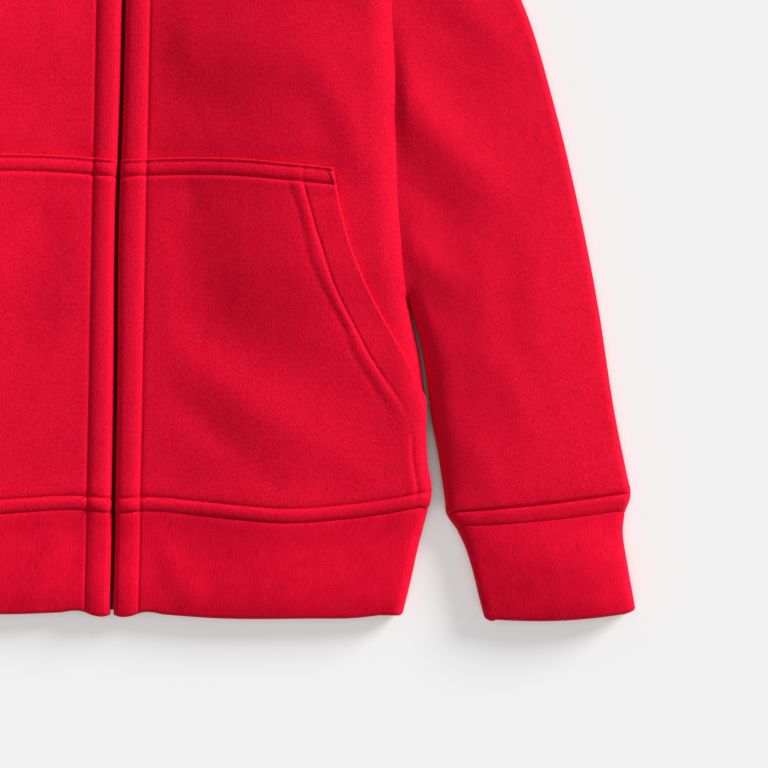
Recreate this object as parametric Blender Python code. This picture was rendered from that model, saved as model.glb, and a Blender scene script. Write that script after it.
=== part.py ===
# A child's zip-through hooded sweatshirt, laid out flat on its back.
#
# Lengths are millimetres and become metres when a mesh is written.
# X runs to the wearer's left, Y from the hem to the hood, and Z up from the table.
# Heights up the garment are counted from the hem and moved to the middle of its
# length at the end. Each half is worked out at +X, and mirrored for the other side.
#
# Two layers of cloth lie on each other. They turn into each other along fold lines,
# round a half circle, so a point's height follows from its distance to the nearest fold.

import math

import bmesh
import bpy
import numpy as np

MM = 0.001
POLE_MERGE = 0.001       # a row that shrinks to a point becomes one vertex

# ---------------------------------------------------------------- driving sizes
SEAM_GAP = 0.3           # between two pieces that are sewn together
LAY_GAP = 0.35           # between a panel and what lies on it
FLEECE = 2.6             # brushed fleece wall
POCKET_FLEECE = 2.2
FOLD_RADIUS = 4.3        # half the height of two laid layers of fleece
RIB = 4.0                # ribbing folded double
BAND_RADIUS = 5.1        # half the height of the laid hem band
CUFF_RADIUS = 4.9
BAND_RIDGE = 0.75        # the band's front edges are raised less than the panels'
STITCH_GAUGE = 6.4       # seam to topstitch
WELT_LIFT = 1.0          # seam allowance pressed under the topstitch
STITCH_DEPTH = 0.5       # a row of stitches pulls the cloth in
STITCH_REACH = 1.7       # the cloth is level again this far beside a row of stitches
EDGE_DROP = 0.7          # a turned edge lies lower than the cloth inside it

GARMENT_LENGTH = 600.0
UNDERARM_HEIGHT = 183.0
SHOULDER_POINT = (132.0, 372.0)
NECK_POINT = (73.0, 405.0)
FRONT_NECK_HEIGHT = 345.0
BACK_NECK_HEIGHT = 398.0
FRONT_EDGE = 0.9         # half the gap between the two front edges
FRONT_STITCH = 12.8      # topstitch of the turned front edge, from the centre line
ZIP_OPENING = (300.0, 316.0, 5.2)    # edges part from, apart at, half gap there

# The turned front edge: share of the way from edge to topstitch, lift above the panel.
FRONT_RIDGE = ((0.0, -1.3), (0.08, 0.8), (0.27, 1.7), (0.68, 1.6), (0.93, 0.5), (1.0, -0.4))

# Side of the body and, above the underarm, armhole seam: height, half width.
SIDE_LINE = (
    (0.0, 140.6), (5.1, 141.4), (20.7, 144.9), (32.4, 147.1), (44.1, 149.8), (55.7, 152.6),
    (62.0, 153.9), (68.0, 153.6), (75.0, 152.1), (90.0, 150.9), (107.0, 150.5), (118.0, 148.9),
    (130.0, 147.0), (142.0, 144.1), (154.0, 141.2), (166.0, 138.9), (183.0, 137.0),
    (202.0, 135.2), (232.0, 133.5), (268.0, 132.2), (302.0, 130.0), (335.0, 128.7),
    (357.0, 129.7), (372.0, 132.0))

# Seam of the hem band: distance from the centre line, height.
BAND_SEAM = (
    (0.0, 50.6), (17.7, 51.8), (42.0, 50.3), (61.5, 48.7), (85.0, 47.6), (110.0, 49.6),
    (129.3, 52.4), (148.6, 56.2), (154.0, 57.4))

# Lower edge of the front of the hem band: distance from the centre line, height.
BAND_EDGE = (
    (0.9, 0.9), (4.0, 0.0), (9.0, 0.4), (14.0, 2.2), (28.0, 1.5), (52.0, 0.3), (104.0, 0.9),
    (130.0, 1.8), (141.0, 3.2))
BAND_BACK_EDGE = 3.0
BAND_TOP = 56.0          # height of its seam at the side

# Rows across the body: height at the centre line, height at the side or armhole.
BODY_ROWS = (
    (80.0, 80.0), (107.0, 107.0), (130.0, 132.0), (156.0, 158.0), (176.0, 183.0),
    (192.0, 184.3), (208.0, 187.4), (238.0, 225.0), (268.0, 270.0), (298.0, 315.0),
    (322.0, 345.0))
HEM_ROWS = (0.0, 3.2, STITCH_GAUGE, 9.0)      # above the band seam
TOP_ROWS = (4.9, 1.44, 0.0)                   # below the shoulder and neck seams
BODY_COLUMNS = (14.5, 33.0, 52.0, 71.0, 72.4, 73.0, 92.0, 111.0)   # along the top row
BACK_COLUMNS = (0.0, 25.0, 50.0, 68.7, 71.7, 73.0, 92.0, 111.0)
FLAT_COLUMNS = 3         # of each, before the cloth turns at the neck

# Kangaroo pocket
POCKET_TOP = ((0.0, 221.6), (14.5, 222.7), (58.2, 223.2), (77.6, 221.8), (103.0, 219.7))
POCKET_OPENING = (    # height, distance of the slanted edge from the centre line
    (102.0, 151.5), (106.6, 150.1), (112.0, 147.6), (122.5, 143.5), (132.1, 138.5),
    (141.7, 132.5), (153.7, 125.5), (165.7, 119.4), (177.8, 114.3), (189.8, 110.2),
    (201.9, 107.1), (211.1, 105.2), (219.7, 103.6))
POCKET_STITCHES = (16.0, 22.6)                # from the slanted edge
POCKET_TOP_STITCHES = (2.0, 8.4)              # below the top edge
POCKET_ROWS = (72.0, 92.0, 107.0, 124.0, 146.0, 170.0, 192.0)
POCKET_TOP_ROWS = (12.0, 8.4, 5.2, 2.0, 0.7, 0.0)      # below the top edge
POCKET_FIELD = (0.35, 0.7, 1.0)               # shares of the way to the slanted hem
POCKET_HEM_COLUMNS = (14.2, 7.5, 1.2, 0.0)    # from the slanted edge
POCKET_OPENS = (96.0, 110.0)                  # the slanted hem starts, and is full here
POCKET_SIDE_ANGLE = math.radians(50.0)        # where its side edge sits round the side fold

# Sleeve: inner edge and outer edge, from the armhole to the cuff seam.
SLEEVE_STATIONS = (    # inner x, inner height, outer x, outer height
    (137.3, 183.0, 132.0, 372.0), (138.9, 171.0, 156.0, 357.5), (142.4, 155.0, 177.0, 332.0),
    (147.3, 137.0, 195.5, 298.0), (150.4, 120.0, 210.0, 253.0), (153.3, 99.0, 222.2, 206.6),
    (156.6, 83.0, 232.8, 158.2), (159.3, 67.5, 241.5, 108.0), (160.6, 59.0, 248.4, 76.0),
    (161.6, 52.6, 250.9, 64.4), (166.4, 45.8, 248.3, 55.6))
CREASES = (            # from x, height to x, height, depth, half width
    (134.0, 292.0, 160.0, 276.0, 0.7, 12.0), (136.0, 258.0, 158.0, 250.0, -0.6, 12.0),
    (137.0, 226.0, 160.0, 208.0, 0.8, 13.0), (150.0, 150.0, 168.0, 96.0, 0.6, 12.0))

# Cuff: share of its length, inner x, inner height, outer x, outer height.
CUFF_STATIONS = (
    (0.0, 166.6, 45.5, 248.2, 55.3), (0.17, 169.8, 39.4, 247.3, 47.4),
    (0.5, 174.4, 26.6, 249.6, 31.6), (0.84, 178.9, 9.6, 252.9, 14.8),
    (1.0, 181.3, 1.2, 254.3, 7.6))
CUFF_END_BOW = 0.9
CUFF_LENGTH = 46.0
SLEEVE_SHARES = (0.2, 0.42, 0.64, 0.84)       # points across, between the two folds

# Hood: height of the centre seam, outline x, outline height, front edge x, its height.
HOOD_STATIONS = (
    (600.0, 0.0, 600.0, 0.0, 600.0), (579.0, 38.0, 595.5, 0.0, 578.0),
    (557.0, 71.0, 581.0, 0.0, 557.0), (534.0, 96.0, 558.0, 0.0, 541.0),
    (511.0, 109.5, 528.0, 30.0, 529.0), (488.0, 112.5, 497.0, 47.5, 502.0),
    (465.0, 107.0, 466.0, 52.0, 466.0), (442.0, 96.0, 440.0, 44.0, 428.0),
    (420.0, 83.5, 420.5, 26.0, 388.0), (398.0, 73.0, 405.0, 5.2, 345.0))
HOOD_HEM_LIFT = 0.8
HOOD_HEM_SHARE = (33.0 - 5.2) / (73.0 - 5.2)  # width of the hem, in shares of a row
HOOD_FOLD_SPREAD = 1.2                        # its fold slants, which spreads the points
HOOD_OPENS = 3                                # station where the front edges part
HOOD_RIDGE = (7, 9)                           # stations where the front ridge starts, is full

# Zip
CHAIN_HALF_WIDTH = 2.3
CHAIN_BASE = 4.3
CHAIN_TOP = 5.9
TAPE_BASE = 5.0
TAPE_TOP = 5.7
TAPE_EDGE = 11.5
BOX_HEIGHT = (4.0, 13.0)
SLIDER_HEIGHT = 333.0
SLIDER_LENGTH = 11.0
SLIDER_HALF_WIDTH = 4.1
PULL_LENGTH = 21.0
PULL_HALF_WIDTH = 3.1
PULL_AXIS = (336.0, 8.3)      # height along the garment, height above the table
PULL_THICK = 1.2
PULL_BAR = 1.2
PULL_SLOT = 3.4               # from the axis to the far end of the slot
PULL_CLEARANCE = 0.5          # beside the bridge, in the slot
SLIDER_PLATE = 1.0            # thickness of the upper plate
SLIDER_UNDER = (3.0, 3.9)     # the lower plate, above the table
SLIDER_POST = (1.0, 0.6)      # half width, distance from the head
SLIDER_SINK = 0.4             # parts that are joined reach this far into each other
BRIDGE_SLOT = 1.1             # half the opening of the bridge
BRIDGE_LEG = 1.2
BRIDGE_WIDTH = 2.4
BRIDGE_BAR = 0.6              # share of the legs that the bar over them covers

RED_FLEECE = ("red_fleece", (0.62, 0.008, 0.018, 1.0), 0.95, 0.0)
RED_RIB = ("red_rib", (0.58, 0.007, 0.016, 1.0), 0.95, 0.0)
RED_TAPE = ("red_tape", (0.36, 0.006, 0.014, 1.0), 0.9, 0.0)
RED_PLASTIC = ("red_plastic", (0.42, 0.006, 0.014, 1.0), 0.45, 0.0)
RED_METAL = ("red_painted_metal", (0.45, 0.008, 0.016, 1.0), 0.35, 0.6)


# ---------------------------------------------------------------- curves and folds
def smooth(table, at, column=1):
    """Value of a smooth curve through a table's rows; its first column is the key."""
    keys = np.array([row[0] for row in table])
    values = np.array([row[column] for row in table])
    slopes = np.gradient(values, keys)
    at = float(np.clip(at, keys[0], keys[-1]))
    i = int(np.clip(np.searchsorted(keys, at, side="right") - 1, 0, len(keys) - 2))
    span = keys[i + 1] - keys[i]
    t = (at - keys[i]) / span
    start = (1 + 2 * t) * (1 - t) ** 2 * values[i] + t * t * (3 - 2 * t) * values[i + 1]
    turn = t * (1 - t) ** 2 * slopes[i] - t * t * (1 - t) * slopes[i + 1]
    return float(start + span * turn)


def side_at(height):
    return smooth(SIDE_LINE, height)


def numbered(stations):
    """Stations keyed by their number, for tables that have no key of their own."""
    return [(float(number),) + tuple(row) for number, row in enumerate(stations)]


class FoldLines:
    """Edges where the upper layer turns into the lower; the cloth lies on their left."""

    def __init__(self, *lines):
        self.starts = np.concatenate([np.array(line[:-1], float) for line in lines])
        ends = np.concatenate([np.array(line[1:], float) for line in lines])
        self.steps = ends - self.starts
        self.lengths = np.linalg.norm(self.steps, axis=1)

    def nearest(self, x, y):
        """Distance to the nearest fold, and the direction from it to the point."""
        spot = np.array((x, y))
        share = np.sum((spot - self.starts) * self.steps, axis=1) / self.lengths ** 2
        feet = self.starts + np.clip(share, 0, 1)[:, None] * self.steps
        away = np.linalg.norm(spot - feet, axis=1)
        i = int(np.argmin(away))
        inward = np.array((-self.steps[i][1], self.steps[i][0])) / self.lengths[i]
        if away[i] < 0.02 or (np.dot(spot - feet[i], inward) < 0 and away[i] < 0.8):
            return 0.0, inward
        return float(away[i]), (spot - feet[i]) / away[i]


def sampled(stations, first, second, steps_each=6):
    """Points of the smooth line through two columns of numbered stations."""
    table = numbered(stations)
    count = (len(stations) - 1) * steps_each + 1
    ticks = np.linspace(0, len(stations) - 1, count)
    return [(smooth(table, t, first + 1), smooth(table, t, second + 1)) for t in ticks]


SIDE_FOLD = [(side_at(h), h) for h in np.linspace(0, UNDERARM_HEIGHT, 62)]
OUTER_SLEEVE = sampled(SLEEVE_STATIONS, 2, 3)[::-1]
INNER_SLEEVE = sampled(SLEEVE_STATIONS, 0, 1)
SHOULDER = [SHOULDER_POINT, NECK_POINT]
HOOD_OUTLINE = sampled(HOOD_STATIONS, 1, 2)[::-1]

BODY_FOLDS = FoldLines(SIDE_FOLD, SHOULDER, OUTER_SLEEVE[-7:], HOOD_OUTLINE[:7])
SLEEVE_FOLDS = FoldLines(INNER_SLEEVE, OUTER_SLEEVE, SHOULDER)
HOOD_FOLDS = FoldLines(HOOD_OUTLINE, SHOULDER)
CUFF_TICKS = np.linspace(0, 1, 13)
CUFF_FOLDS = FoldLines(
    [(smooth(CUFF_STATIONS, t, 1), smooth(CUFF_STATIONS, t, 2)) for t in CUFF_TICKS],
    [(smooth(CUFF_STATIONS, t, 3), smooth(CUFF_STATIONS, t, 4)) for t in CUFF_TICKS[::-1]])


def laid(x, y, folds, radius, side, depth=0.0, lift=0.0, on_fold=False, parted=0.0, way=None):
    """Point of laid cloth: side +1 is the upper layer and -1 the lower one.

    depth goes from the outer face into the wall, and outwards where it is negative;
    parted keeps the two layers' edges apart along a seam that runs on the fold, and
    way is the direction into the wall where a seam cuts across the fold's end.
    """
    distance, toward = folds.nearest(x, y)
    if way is not None:
        toward = way
    lean = 1.0 if on_fold else max(0.0, 1.0 - distance / radius)
    rise = math.sqrt(1.0 - lean * lean)
    tall = max((radius - depth) * rise, parted)
    return (x + toward[0] * depth * lean, y + toward[1] * depth * lean,
            radius + side * (tall + lift * rise))


# ---------------------------------------------------------------- making meshes
def material(settings):
    name, colour, roughness, metallic = settings
    made = bpy.data.materials.get(name)
    if made is None:
        made = bpy.data.materials.new(name)
        made.use_nodes = True
        shader = made.node_tree.nodes["Principled BSDF"]
        shader.inputs["Base Color"].default_value = colour
        shader.inputs["Roughness"].default_value = roughness
        shader.inputs["Metallic"].default_value = metallic
    return made


def add_object(name, mesh_data, look, origin=(0.0, 0.0, 0.0)):
    """Writes a bmesh in metres, moved to the middle of the garment's length."""
    start = np.array(origin) - np.array((0.0, GARMENT_LENGTH / 2, 0.0))
    for vert in mesh_data.verts:
        vert.co = [(a - b) * MM for a, b in zip(vert.co, origin)]
    bmesh.ops.recalc_face_normals(mesh_data, faces=mesh_data.faces)
    if mesh_data.calc_volume(signed=True) < 0:
        bmesh.ops.reverse_faces(mesh_data, faces=mesh_data.faces)
    mesh = bpy.data.meshes.new(name)
    mesh_data.to_mesh(mesh)
    mesh_data.free()
    mesh.shade_smooth()
    mesh.set_sharp_from_angle(angle=math.radians(50))
    mesh.materials.append(material(look))
    made = bpy.data.objects.new(name, mesh)
    made.location = [value * MM for value in start]
    bpy.context.collection.objects.link(made)
    return made


def add_wall(name, outer, inner, look, ring=False):
    """Closed solid between two grids of rows; a ring's rows close on themselves."""
    data = bmesh.new()
    faces = [[[data.verts.new(point) for point in row] for row in grid]
             for grid in (outer, inner)]
    rows, columns = len(outer), len(outer[0])
    across = columns if ring else columns - 1
    for grid in faces:
        for r in range(rows - 1):
            for c in range(across):
                d = (c + 1) % columns
                data.faces.new((grid[r][c], grid[r][d], grid[r + 1][d], grid[r + 1][c]))
    top, under = faces
    for r in (0, rows - 1):
        for c in range(across):
            d = (c + 1) % columns
            data.faces.new((top[r][c], top[r][d], under[r][d], under[r][c]))
    if not ring:
        for c in (0, columns - 1):
            for r in range(rows - 1):
                data.faces.new((top[r][c], top[r + 1][c], under[r + 1][c], under[r][c]))
    bmesh.ops.remove_doubles(data, verts=data.verts, dist=POLE_MERGE)
    return add_object(name, data, look)


def add_swept(name, sections, look, ring=False):
    """Closed solid from closed sections set one after another, or round a ring."""
    data = bmesh.new()
    loops = [[data.verts.new(point) for point in section] for section in sections]
    stations, size = len(loops), len(loops[0])
    for s in range(stations if ring else stations - 1):
        here, there = loops[s], loops[(s + 1) % stations]
        for k in range(size):
            j = (k + 1) % size
            data.faces.new((here[k], here[j], there[j], there[k]))
    if not ring:
        data.faces.new(loops[0])
        data.faces.new(loops[-1])
    return add_object(name, data, look)


def mirrored(grid):
    return [[(-x, y, z) for x, y, z in row] for row in grid]


def both_sides(name, outer, inner, look, ring=False):
    add_wall(name + "_left", outer, inner, look, ring)
    add_wall(name + "_right", mirrored(outer), mirrored(inner), look, ring)


# ---------------------------------------------------------------- body
def front_edge(height):
    start, apart, half_gap = ZIP_OPENING
    share = float(np.clip((height - start) / (apart - start), 0, 1))
    return FRONT_EDGE + (half_gap - FRONT_EDGE) * share * share * (3 - 2 * share)


def front_neck(x):
    share = max(0.0, (x - 5.2) / (NECK_POINT[0] - 5.2))
    return FRONT_NECK_HEIGHT + (NECK_POINT[1] - FRONT_NECK_HEIGHT) * share ** 2.2


def back_neck(x):
    return BACK_NECK_HEIGHT + (NECK_POINT[1] - BACK_NECK_HEIGHT) * (x / NECK_POINT[0]) ** 2


def top_of_body(x, neck):
    if x <= NECK_POINT[0]:
        return neck(x)
    share = (x - NECK_POINT[0]) / (SHOULDER_POINT[0] - NECK_POINT[0])
    return NECK_POINT[1] + (SHOULDER_POINT[1] - NECK_POINT[1]) * share


def welt_lift(above_seam):
    """Puffed seam allowance between a band's seam and the topstitch above it."""
    if above_seam < STITCH_GAUGE:
        return WELT_LIFT * (1 - abs(above_seam / STITCH_GAUGE * 2 - 1) ** 2) - 0.2
    return -STITCH_DEPTH * max(0.0, 1 - (above_seam - STITCH_GAUGE) / 2.5)


def ridge_lift(x, height):
    """Lift of the turned front edge at a distance from the centre line."""
    edge = front_edge(height)
    share = (x - edge) / (FRONT_STITCH - edge)
    if share <= 1:
        shares, lifts = zip(*FRONT_RIDGE)
        return float(np.interp(share, shares, lifts))
    return FRONT_RIDGE[-1][1] * max(0.0, 1 - (x - FRONT_STITCH) / STITCH_REACH)


def body_row(kind, value, x, neck):
    """Height of a row at a distance from the centre line."""
    if kind == "hem":
        return smooth(BAND_SEAM, x) + SEAM_GAP / 2 + value
    if kind == "top":
        return top_of_body(x, neck) - SEAM_GAP / 2 - value
    centre, side = value
    return centre + (side - centre) * (x / side_at(side)) ** 2


def body_rows(hem_rows, mid_rows):
    return ([("hem", value) for value in hem_rows] + [("mid", value) for value in mid_rows]
            + [("top", value) for value in TOP_ROWS])


def side_of_row(kind, value, neck):
    """Where a row meets the side fold or, above the underarm, the armhole seam."""
    x = SHOULDER_POINT[0] if kind == "top" else 145.0
    for _ in range(4):
        height = body_row(kind, value, x, neck)
        x = side_at(height)
        if height > UNDERARM_HEIGHT:
            x -= SEAM_GAP / 2
    return x, height


ARC = (FOLD_RADIUS, FOLD_RADIUS * (1 - math.cos(math.radians(45))), 0.0)


def field_share(x):
    """Share of the way between the front topstitch and the side fold, on the top row."""
    return (x - FRONT_STITCH) / (SHOULDER_POINT[0] - FOLD_RADIUS - FRONT_STITCH)


def body_grid(kind_rows, columns, neck, side, depth, lift):
    """Rows of points of one half of a body panel."""
    grid = []
    for kind, value in kind_rows:
        end, end_height = side_of_row(kind, value, neck)
        spots = [(x, False) for x in columns(kind, value, end)]
        spots += [(end - back, back == 0.0) for back in ARC]
        row = []
        for x, last in spots:
            y = body_row(kind, value, x, neck)
            seam_top = kind == "top" and value == 0.0 and x >= NECK_POINT[0] - 0.01
            on_side = last and end_height <= UNDERARM_HEIGHT + 0.2
            fold = seam_top or on_side
            row.append(laid(x, y, BODY_FOLDS, FOLD_RADIUS, side, depth,
                            lift(kind, value, x, y), fold, SEAM_GAP / 2))
        grid.append(row)
    return grid


def front_columns(kind, value, end):
    edge = front_edge(body_row(kind, value, FRONT_EDGE, front_neck))
    turned = [edge + share * (FRONT_STITCH - edge) for share, _ in FRONT_RIDGE]
    reach = end - FOLD_RADIUS - FRONT_STITCH
    return turned + [FRONT_STITCH + field_share(x) * reach for x in BODY_COLUMNS]


def front_lift(kind, value, x, y):
    lift = ridge_lift(x, y)
    if kind == "top" and x < NECK_POINT[0]:
        lift -= STITCH_DEPTH * (value == 0.0)
    return lift


def no_lift(kind, value, x, y):
    return 0.0


def make_fronts():
    rows = body_rows(HEM_ROWS, BODY_ROWS)
    outer = body_grid(rows, front_columns, front_neck, 1, 0.0, front_lift)
    inner = body_grid(rows, front_columns, front_neck, 1, FLEECE, no_lift)
    both_sides("front", outer, inner, RED_FLEECE)


def back_columns(kind, value, end):
    reach = (end - FOLD_RADIUS) / (SHOULDER_POINT[0] - FOLD_RADIUS)
    return [x * reach for x in BACK_COLUMNS]


def make_back():
    below = [row for row in BODY_ROWS if row[1] < UNDERARM_HEIGHT]
    above = [row for row in BODY_ROWS if row[1] >= UNDERARM_HEIGHT]
    rows = body_rows((0.0, STITCH_GAUGE), below[1::2] + above)
    halves = [body_grid(rows, back_columns, back_neck, -1, depth, no_lift)
              for depth in (0.0, FLEECE)]
    outer, inner = [[flip[:0:-1] + row for flip, row in zip(mirrored(half), half)]
                    for half in halves]
    add_wall("back_panel", outer, inner, RED_FLEECE)


# ---------------------------------------------------------------- pocket
def pocket_side(height):
    """Right edge of the pocket: side seam below, slanted opening above."""
    side = side_at(height) - FOLD_RADIUS * (1 - math.cos(POCKET_SIDE_ANGLE))
    if height < POCKET_OPENING[0][0]:
        return side
    return min(side, smooth(POCKET_OPENING, height))


def pocket_lift(x, y, above_seam, below_top, from_side):
    lift = ridge_lift(x, y)
    if above_seam < 9.0:
        lift += welt_lift(above_seam)
    opens, opened = POCKET_OPENS
    past_opening = float(np.clip((y - opens) / (opened - opens), 0, 1))
    for stitch in POCKET_STITCHES:
        near = max(0.0, 1 - abs(from_side - stitch) / 1.6)
        lift -= STITCH_DEPTH * near * past_opening
    if from_side < POCKET_STITCHES[0]:
        lift += 0.5 * past_opening
    for stitch in POCKET_TOP_STITCHES:
        lift -= STITCH_DEPTH * max(0.0, 1 - abs(below_top - stitch) / 1.2)
    if below_top < 0.1 or (from_side < 0.1 and past_opening > 0.5):
        lift -= EDGE_DROP
    return lift


def pocket_grid(depth, shaped):
    first, second = POCKET_STITCHES
    rows = [("hem", value) for value in HEM_ROWS] + [("mid", value) for value in POCKET_ROWS]
    rows += [("top", value) for value in POCKET_TOP_ROWS]
    grid = []
    for kind, value in rows:
        end = 150.0
        for _ in range(5):
            if kind == "hem":
                height = smooth(BAND_SEAM, end) + SEAM_GAP + value
            elif kind == "top":
                height = smooth(POCKET_TOP, end) - value
            else:
                height = value
            end = pocket_side(height)
        spots = [FRONT_EDGE + share * (FRONT_STITCH - FRONT_EDGE) for share, _ in FRONT_RIDGE]
        field = end - second - STITCH_REACH
        spots += [FRONT_STITCH + STITCH_REACH]
        spots += [FRONT_STITCH + share * (field - FRONT_STITCH) for share in POCKET_FIELD]
        spots += [end - back for back in (second, (first + second) / 2, first)]
        spots += [end - back for back in POCKET_HEM_COLUMNS]
        row = []
        for x in spots:
            seam = smooth(BAND_SEAM, x) + SEAM_GAP
            top = smooth(POCKET_TOP, x)
            if kind == "hem":
                y = seam + value
            elif kind == "top":
                y = top - value
            else:
                y = value
            lift = ridge_lift(x, y)
            if shaped:
                lift = pocket_lift(x, y, y - seam, top - y, end - x)
            row.append(laid(x, y, BODY_FOLDS, FOLD_RADIUS, 1, depth, lift))
        grid.append(row)
    return grid


def make_pockets():
    outer = pocket_grid(-(LAY_GAP + POCKET_FLEECE), True)
    inner = pocket_grid(-LAY_GAP, False)
    both_sides("pocket", outer, inner, RED_FLEECE)


# ---------------------------------------------------------------- bands of ribbing
def rib_section(length):
    """Closed section of doubled ribbing: distance from its bottom fold, depth in the wall."""
    half = RIB / 2
    return ((length, 0.9), (length - 1.4, 0.0), (length * 0.55, 0.0), (half, 0.0),
            (half * 0.3, half * 0.3), (0.0, half), (half * 0.3, half * 1.7), (half, RIB),
            (length * 0.55, RIB), (length - 1.4, RIB), (length, RIB - 0.6))


def band_section(x, side, angle):
    """Section of the band on the upper or lower layer, or at an angle round the fold."""
    flat_x = x
    if angle is not None:
        flat_x = side_at(BAND_TOP) - BAND_RADIUS * (1 - math.cos(angle))
    seam = smooth(BAND_SEAM, flat_x) - SEAM_GAP / 2
    front = smooth(BAND_EDGE, flat_x)
    share = (1 + side) / 2 if angle is None else (1 + math.sin(angle)) / 2
    foot = BAND_BACK_EDGE + (front - BAND_BACK_EDGE) * share
    section = []
    for above, depth in rib_section(seam - foot):
        fold = side_at(foot + above)
        if angle is not None:
            radius = BAND_RADIUS - depth
            across = fold - BAND_RADIUS + radius * math.cos(angle)
            rise = radius * math.sin(angle)
        else:
            reach = (fold - BAND_RADIUS) / (side_at(BAND_TOP) - BAND_RADIUS)
            across = x if x <= FRONT_STITCH else x * reach
            outside = 1 - depth / (RIB / 2)
            ridge = BAND_RIDGE * ridge_lift(x, 0.0) * (side > 0) * max(0.0, outside)
            rise = side * (BAND_RADIUS - depth) + ridge
        section.append((across, foot + above, BAND_RADIUS + rise))
    return section


def make_band():
    """The band runs from one front edge round the back to the other front edge."""
    side = side_at(BAND_TOP)
    stations = [(x, 1, None) for x in front_columns("hem", 0.0, side)]
    stations += [(0.0, 0, math.radians(angle)) for angle in (90, 60, 30, 0, -30, -60, -90)]
    stations += [(x, -1, None) for x in reversed(back_columns("hem", 0.0, side))]
    half = [band_section(*station) for station in stations]
    other = [[(-x, y, z) for x, y, z in section] for section in half[-2::-1]]
    add_swept("hem_band", half + other, RED_RIB)


# ---------------------------------------------------------------- sleeves and cuffs
def edge_points(table, number):
    """Ends of the line across a sleeve or cuff at a station, and ways in from them."""
    ends = []
    for first, turn in ((1, 1.0), (3, -1.0)):
        here = np.array([smooth(table, number, first), smooth(table, number, first + 1)])
        low, high = max(number - 0.05, table[0][0]), min(number + 0.05, table[-1][0])
        before = np.array([smooth(table, low, first), smooth(table, low, first + 1)])
        after = np.array([smooth(table, high, first), smooth(table, high, first + 1)])
        along = (after - before) / np.linalg.norm(after - before)
        ends.append((here, turn * np.array((-along[1], along[0]))))
    return ends


def across_plan(ends, radius, shares):
    """Plan points from the inner fold to the outer fold, marked where on a fold."""
    (inner, inner_way), (outer, outer_way) = ends
    bend = radius * (1 - math.cos(math.radians(45)))
    near = [inner, inner + inner_way * bend, inner + inner_way * radius]
    far = [outer + outer_way * radius, outer + outer_way * bend, outer]
    between = [near[2] + (far[0] - near[2]) * share for share in shares]
    spots = near + between + far
    last = len(spots) - 1
    return [(x, y, number in (0, last), None) for number, (x, y) in enumerate(spots)]


def armhole_spots():
    """Plan points up the armhole seam, at the heights of the body's own rows."""
    heights = [side for _, side in BODY_ROWS if side >= UNDERARM_HEIGHT]
    heights += [SHOULDER_POINT[1] - below for below in TOP_ROWS]
    last = len(heights) - 1
    return [(side_at(height) + SEAM_GAP / 2, height, number in (0, last),
             (0.0, 1.0) if number == 0 else None) for number, height in enumerate(heights)]


def sleeve_spots(number):
    if number == 0:
        return armhole_spots()
    ends = edge_points(numbered(SLEEVE_STATIONS), number)
    if number < 1:
        inner, way = ends[0]
        ends[0] = (inner, number * way + (1 - number) * np.array((0.0, 1.0)))
    return across_plan(ends, FOLD_RADIUS, SLEEVE_SHARES)


def crease_lift(x, y):
    lift = 0.0
    for x0, y0, x1, y1, deep, wide in CREASES:
        run = np.array((x1 - x0, y1 - y0))
        share = float(np.clip(np.dot((x - x0, y - y0), run) / np.dot(run, run), 0, 1))
        away = math.dist((x, y), (x0 + share * run[0], y0 + share * run[1]))
        lift -= deep * math.exp(-(away / wide) ** 2)
    return lift


def ring_of(spots, folds, radius, depth, lift):
    """Points all round a laid tube: along its upper layer, then back along the lower."""
    upper = [laid(x, y, folds, radius, 1, depth, lift(x, y), fold, 0.0, way)
             for x, y, fold, way in spots]
    lower = [laid(x, y, folds, radius, -1, depth) for x, y, _, _ in spots[-2:0:-1]]
    return upper + lower


def make_sleeves():
    seam = len(SLEEVE_STATIONS) - 1
    stations = [0, 0.4, 1, 1.5, 2, 2.5, 3, 3.5, 4, 4.5, 5, 5.5, 6, 7, 8, seam - 1]
    stations += [seam - 0.5, seam - 0.02]
    stitched = {seam - 1: -STITCH_DEPTH, seam - 0.5: WELT_LIFT, seam - 0.02: -0.2}
    outer, inner = [], []
    for number in stations:
        spots = sleeve_spots(number)
        pressed = stitched.get(number, 0.0)
        outer.append(ring_of(spots, SLEEVE_FOLDS, FOLD_RADIUS, 0.0,
                             lambda x, y, pressed=pressed: pressed + crease_lift(x, y)))
        inner.append(ring_of(spots, SLEEVE_FOLDS, FOLD_RADIUS, FLEECE, lambda x, y: 0.0))
    both_sides("sleeve", outer, inner, RED_FLEECE, ring=True)


def cuff_spots(share):
    spots = across_plan(edge_points(CUFF_STATIONS, share), CUFF_RADIUS, SLEEVE_SHARES)
    last = len(spots) - 1
    bow = CUFF_END_BOW * share ** 3
    return [(x, y - bow * math.sin(math.pi * number / last), fold, way)
            for number, (x, y, fold, way) in enumerate(spots)]


def make_cuffs():
    rows = []
    for above, depth in rib_section(CUFF_LENGTH):
        spots = cuff_spots(1 - above / CUFF_LENGTH)
        rows.append(ring_of(spots, CUFF_FOLDS, CUFF_RADIUS, depth, lambda x, y: 0.0))
    sections = [list(section) for section in zip(*rows)]
    add_swept("cuff_left", sections, RED_RIB, ring=True)
    add_swept("cuff_right", mirrored(sections), RED_RIB, ring=True)


# ---------------------------------------------------------------- hood
def hood_lift(share, number):
    """Lift of the upper layer at a share of the way in from its front edge."""
    hemmed = HOOD_HEM_LIFT if share < HOOD_HEM_SHARE - 0.02 else 0.0
    if share < 0.001:
        hemmed = -EDGE_DROP
    if abs(share - HOOD_HEM_SHARE) < 0.02:
        hemmed = -STITCH_DEPTH
    seamed = -STITCH_DEPTH if share < 0.001 else 0.0
    opened = float(np.clip(number - HOOD_OPENS, 0, 1))
    return seamed + (hemmed - seamed) * opened


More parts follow.
